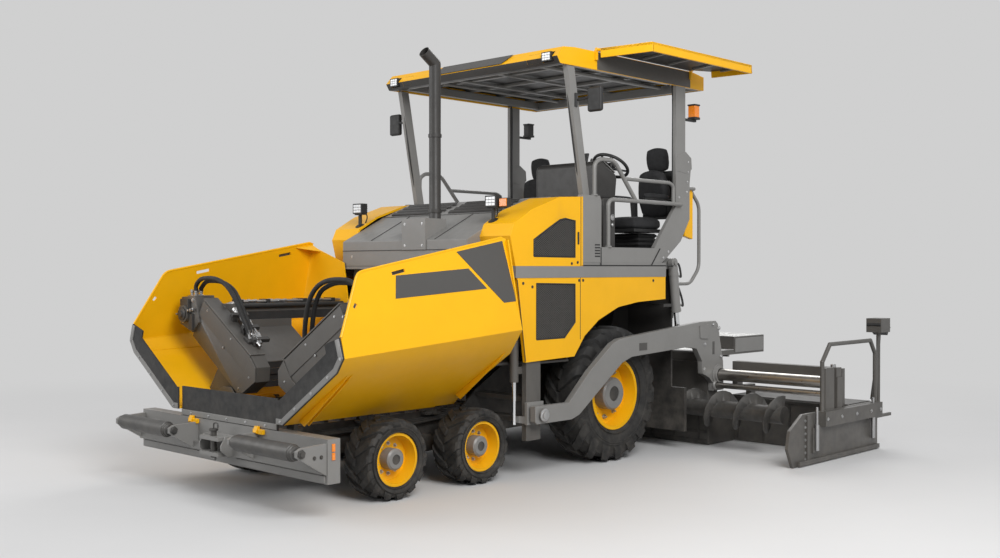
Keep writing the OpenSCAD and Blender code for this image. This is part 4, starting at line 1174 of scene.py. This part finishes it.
POST_X, POST_Y = 1380, 900
add_lamp(1346, 1418, POST_Y - 67, POST_Y + 67, 2322, 2420)
add_lamp(790, 846, 968, 1082, ROOF_Z + 24, ROOF_Z + 106)
cases.both().piece("lamp_cases", BLACK, 6)
cells.both().piece("lamp_cells", WHITE_LENS, 3)
posts = Shape().tube([(POST_X, POST_Y, 2195), (POST_X, POST_Y, 2322)], 18, 12)
posts.knob([(45, 0), (45, 12), (22, 20)], (POST_X, POST_Y, 2200), (0.4, 0, 0.9), 20)
posts.box(POST_X - 18, POST_X + 18, POST_Y - 62, POST_Y + 62, 2312, 2324)
posts.tube(curve([(1345, 880, 2350), (1310, 880, 2300), (1330, 885, 2230), (1365, 893, 2212)], 6), 6, 8)
posts.both().piece("lamp_posts", BLACK, node="lamps")
# The lower part of each lamp blank, the sill, is painted dark as painted shade, carrying on the shaded
# underside of the roof.
for name, material, profile in (
    ("canopy_lamp_blanks", YELLOW, ((782, 3660), (839.5, 3660), (796, 3709), (782, 3709))),
    ("canopy_lamp_sills_painted_shade", DARK, ((782, 3621), (814, 3621), (839.5, 3660), (782, 3660))),
):
    Shape().across(780.5, 909.5, profile).both().piece(name, material, 1)
BEACON_Z = ROOF_Z - 306
lamp_feet = Shape().box(-1300, -1102, 1115, 1145, BEACON_Z - 24, BEACON_Z)
lamp_feet.box(-1322, -1228, 1084, 1176, BEACON_Z, BEACON_Z + 24)
lamp_feet.box(-1322, -1228, 1084, 1176, BEACON_Z + 138, BEACON_Z + 154)
beacon = Shape().box(-1316, -1234, 1090, 1170, BEACON_Z + 24, BEACON_Z + 138)
lamp_feet.both().join(beacon.mirrored()).box(1345, 1392, 981, 1074, 2318, 2396)
lamp_feet.tube([(1368, 967, 2340), (1368, 990, 2340)], 10, 8).piece("indicator_cases", BLACK, 4)
beacon.box(1392, 1400, 985, 1070, 2324, 2390).piece("indicator_lenses", AMBER, 4)

# Tow arms, tow points and lift cylinders
ARM_SIDE, TUBE_AT, LOW_TUBE_AT = 1285, (-1480, 722), (-1440, 617)
dressed("tow_arms", 6)
dressed("tow_guides", 4)
dressed("tow_sliders", 3, (GREY, lambda c, n: c.z < 700 and abs(c.y) > 1115))
arm_fittings = Shape()
for x, z in ((-1500, 1190), (-1400, 1230), (-1540, 900), (-1545, 620), (-1250, 1040), (-1240, 790)):
    arm_fittings.bolt((x, ARM_SIDE, z), OUT, 14, 12)
PIN_END = [(TIP, 0), (55, 0), (55, 10), (36, 16), (36, 26), (TIP, 28)]
arm_fittings.lathe(PIN_END, (1180, ARM_SIDE + 20, 556), OUT, 28)
for angle in (math.radians(60 * k + 30) for k in range(6)):
    place = (TUBE_AT[0] + 88 * math.cos(angle), ARM_SIDE, TUBE_AT[1] + 88 * math.sin(angle))
    arm_fittings.bolt(place, OUT, 10, 9)
arm_fittings.both().piece("arm_fittings", STEEL, 0, SCREED)
collars = Shape()
for (x, z), count, profile in (
    (TUBE_AT, 36, [(64, 0), (102, 0), (102, 10), (82, 14), (80, 34), (64, 36)]),
    (LOW_TUBE_AT, 28, [(35, 0), (56, 0), (56, 10), (46, 22), (35, 22)]),
):
    collars.lathe(profile, (x, ARM_SIDE, z), OUT, count)
ARM_PAD = [(-1150, 1225), (-1300, 1240), (-1330, 1150), (-1290, 1090), (-1160, 1100)]
collars.across(ARM_SIDE, ARM_SIDE + 12, ARM_PAD).both().piece("guide_collars", GREY, 2, SCREED)
arm_labels = Shape().box(-290, -170, ARM_SIDE, ARM_SIDE + 2, 1030, 1100)
arm_labels.box(-1420, -1385, ARM_SIDE, ARM_SIDE + 2, 930, 1060)
arm_labels.both().piece("arm_label_panels", PLATE, 0, SCREED)
for node in ("lift_barrels", "lift_rods"):
    dressed(node, 3)
LIFT_TOP, LIFT_EYE = Vector((-890, 1150, 1850)), Vector((-985, 1150, 1060))
LIFT_WAY = (LIFT_EYE - LIFT_TOP).normalized()
glands = Shape().lathe([(26.2, 455), (50, 455), (50, 485), (40, 490), (26.2, 490)], LIFT_TOP, LIFT_WAY, 32)
glands.lathe([(46, 100), (50, 100), (50, 125), (46, 125)], LIFT_TOP, LIFT_WAY, 32)
lift_hoses = Shape()
for down in (130, 420):
    port = LIFT_TOP + LIFT_WAY * down + BACK * 46
    glands.knob([(16, 0), (16, 20), (11, 22), (11, 45)], port, BACK)
    bend = [port + Vector(v) for v in ((-40, 0, 0), (-90, -10, 0), (-100, -50, 120))]
    lift_hoses.tube(curve(bend + [Vector((-1010, 1040, 1830 - 0.09 * down))]), 11)
glands.both().piece("lift_glands", GREY, 0, "lift_barrel")
lift_hoses.both().piece("lift_hoses", RUBBER, 0, "lift_barrel")

# Screed: heat shields, ribs, walkways with chequer tops, tool boxes
SCREED_FRONT, SCREED_END = -1419, 1205
BOX_IN, BOX_OUT, BOX_BACK, BOX_TOP = 450, 1080, -2700, 1065
dressed("screed_main", 5)
shields = Shape().box(BOX_BACK - 4, BOX_BACK + 2, BOX_IN + 5, BOX_OUT - 5, 900, 1050)
for z0, z1 in ((20, 60), (120, 150), (300, 330)):
    shields.box(SCREED_FRONT, SCREED_FRONT + 7, 30, SCREED_END, z0, z1)
for y in (200, 500, 800, 1100):
    shields.box(SCREED_FRONT, SCREED_FRONT + 9, y - 8, y + 8, 20, 440)
shields.both().piece("screed_ribs", IRON, 2, SCREED)
tops = Shape().box(BOX_BACK + 2, -2102, BOX_IN + 2, BOX_OUT - 2, BOX_TOP - 1, BOX_TOP + 7)
tops.box(-2098, -1600, BOX_IN + 2, BOX_OUT - 2, 929.5, 936)
tops.both()
for i in range(14):
    for j in range(12):
        x = BOX_BACK + 30 + 42 * i
        slant = Matrix.Rotation(0.7 if (i + j) % 2 else -0.7, 3, "Z")
        for y in (BOX_IN + 30 + 50 * j, -BOX_IN - 30 - 50 * j):
            tops.box(x - 16, x + 16, y - 4, y + 4, BOX_TOP + 7, BOX_TOP + 10, slant)
tops.piece("tool_box_tops", CHEQUER, 1, SCREED)
box_sides = Shape().box(BOX_BACK + 20, -2120, BOX_OUT, BOX_OUT + 8, 900, 1050)
box_sides.box(-2250, -2210, BOX_OUT, BOX_OUT + 8.01, 940, 1010)
for x in (-1660, -1780, -1900, -2020):
    box_sides.box(x, x + 24, BOX_IN + 2, BOX_OUT - 2, 860, 881)
box_sides.box(-1572, -1448, 10, SCREED_END, 930, 946)
box_sides.both().piece("tool_box_sides", GREY, 4, SCREED)

# Extensions with their tubes and end gates
dressed("screed_ext_{}", 3, (SATIN, lambda c, n: c.z > 575 and c.x > -1560))
dressed("end_gate_{}", 4)
GATE, BLOCK_TOP = 2530, 470
gate = Shape()
for k in range(7):
    gate.bolt((-1010, GATE, 60 + 58 * k), OUT, 10, 8)
for x in (-1330, -1600, -1900, -2200, -2400):
    gate.bolt((x, GATE + 55, 400), OUT, 12, 10)
for x in (-1180, -2300):
    gate.rod((x, GATE + 24, 120), (x, GATE + 24, 360), 20)
    gate.rod((x, GATE + 24, 330), (x, GATE + 24, 520), 12, 14)
gate.rod((-1700, 2440, BLOCK_TOP), (-1700, 2440, 880), 26, 18)
gate.rod((-1800, 2440, BLOCK_TOP), (-1800, 2440, 840), 18)
gate.twins("gate_fittings", STEEL, 0, EXTENSION)
gate_parts = Shape().box(-1060, -1020, GATE, GATE + 18, 20, 455)
gate_parts.box(-2430, -860, GATE, GATE + 30, 10, 52)
gate_parts.box(-1230, -1130, GATE, GATE + 12, 100, 330)
for x in (-1650, -1740, -1850):
    gate_parts.box(x - 26, x + 26, 2410, 2470, BLOCK_TOP - 2, 830)
gate_parts.across(2462, 2472, [(-2440, 470), (-2550, 470), (-2640, 1160), (-2590, 1160)])
gate_parts.rod((-2600, 2450, 900), (-2480, 2450, 480), 16, 14)
gate_parts.twins("gate_parts", SCREED_GREY, 3, EXTENSION)
PANEL_AT, PANEL_TURN = (-2640, 2440, 1215), spun(-32, "Y")
control_box = Shape().box(-2740, -2540, 2365, 2515, 1160, 1245, PANEL_TURN, PANEL_AT)
control_box.box(-2750, -2580, 2360, 2520, 1249, 1259, PANEL_TURN, PANEL_AT)
control_box.twins("control_box", BLACK, 8, EXTENSION)
ext_ribs = Shape().box(-1906, -1890, 1160, 2490, 430, 462)
ext_ribs.box(-2380, -1920, 1170, 2480, BLOCK_TOP - 1, BLOCK_TOP + 7)
for y in (1260, 1560, 1860, 2160, 2440):
    ext_ribs.box(-1906, -1893, y - 10, y + 10, 30, 440)
ext_ribs.twins("extension_ribs", IRON, 2, EXTENSION)

# Augers, frame and running gear
for node, bevel in (
    ("auger_{}", 2), ("main_frame", 4), ("bulkheads", 4), ("wheel_houses", 3), ("front_bogies", 4),
    ("conveyor", 2), ("wing_hinges", 3), ("rear_axle", 3), ("knuckle_front_{}", 3), ("knuckle_mid_{}", 3),
):
    dressed(node, bevel)
tunnel_lip = [(1587, -500, 985), (1587, -500, 1012), (1830, -500, 880), (1822, -500, 862)]
Shape().prism(tunnel_lip, (0, 1000, 0)).piece("tunnel_lip", GREY, 3)

# Hoses along the frame
frame_hoses = Shape()
for y, z in ((560 + 22 * k, 520 - 10 * k) for k in range(3)):
    path = [(1620, y, z + 30), (2000, y + 8, z + 6), (2450, y, z), (2900, y + 6, z + 8), (3330, y, z)]
    frame_hoses.tube(curve(path), 11, 8)
for path in (
    [(1280, 1010, 1180), (1340, 1000, 1240), (1420, 960, 1200), (1440, 930, 1080), (1400, 900, 1000)],
    [(1330, 1095, 1190), (1330, 1090, 1260), (1400, 1050, 1290), (1450, 1000, 1200), (1440, 960, 1000)],
):
    frame_hoses.tube(curve(path), 12, 8)
for k in range(3):
    y = 420 + 70 * k
    path = [
        (-990, y, 1250 - 60 * k), (-1060, y + 20, 1230 - 60 * k), (-1100, y + 50, 1120 - 40 * k),
        (-1060, y + 100, 1010 - 30 * k), (-990, y + 140, 990 - 30 * k),
    ]
    frame_hoses.tube(curve(path), 13, 8)
frame_hoses.both().piece("frame_hoses", RUBBER)

# Rear walls: doors with grips, lamps and bolted cover plates
WALL_X, MAIN_X, UPPER_X, EXT_X = -985, -1890, -1580, -2400
COVER_T, BOLT_INSET = 5, 25


def cover_plates(plates, bolts, x, spans, z0, z1):
    """Thin plates on a wall that faces the rear, with a bolt near each corner."""
    for y0, y1 in spans:
        plates.box(x - COVER_T, x + 1, y0, y1, z0, z1)
        for y in (y0 + BOLT_INSET, y1 - BOLT_INSET):
            for z in (z0 + BOLT_INSET, z1 - BOLT_INSET):
                bolts.bolt((x - COVER_T, y, z), BACK, 7, 4)


doors, door_fittings = Shape(), Shape()
cover_plates(doors, door_fittings, WALL_X, [(8, 400)], 1050, 1770)
grip = [(WALL_X - 4, 60, 1360), (WALL_X - 40, 60, 1360), (WALL_X - 40, 60, 1480), (WALL_X - 4, 60, 1480)]
door_fittings.tube(rounded(grip, 12), 7, 8)
doors.both().piece("rear_doors", SCREED_GREY, 2)
door_fittings.both().piece("rear_door_fittings", STEEL)
lamp_cases = Shape().box(WALL_X - 28, WALL_X + 1, 464, 576, 1645, 1735)
lamp_cases.both().piece("rear_lamp_cases", BLACK, 5)
lamp_glass = Shape()
for y in (494, 546):
    lamp_glass.box(WALL_X - 34, WALL_X - 27, y - 22, y + 22, 1655, 1725)
lamp_glass.both().piece("rear_lamp_glass", AMBER, 3)
screed_plates, screed_bolts = Shape(), Shape()
cover_plates(screed_plates, screed_bolts, MAIN_X, [(16, 430), (446, 850)], 50, 430)
cover_plates(screed_plates, screed_bolts, UPPER_X, [(16, 590), (606, 1180)], 500, 820)
screed_plates.both().piece("screed_rear_plates", SCREED_GREY, 2, SCREED)
screed_bolts.both().piece("screed_rear_bolts", STEEL, 0, SCREED)
ext_plates, ext_fittings = Shape(), Shape()
cover_plates(ext_plates, ext_fittings, EXT_X, [(1180 + 335 * k, 1499 + 335 * k) for k in range(4)], 50, 430)
rail = [(EXT_X + 2, 1300, 450), (EXT_X - 48, 1300, 450), (EXT_X - 48, 2380, 450), (EXT_X + 2, 2380, 450)]
ext_fittings.tube(rounded(rail, 30), 12)
ext_plates.twins("extension_rear_plates", SCREED_GREY, 2, EXTENSION)
ext_fittings.twins("extension_rear_fittings", STEEL, 0, EXTENSION)
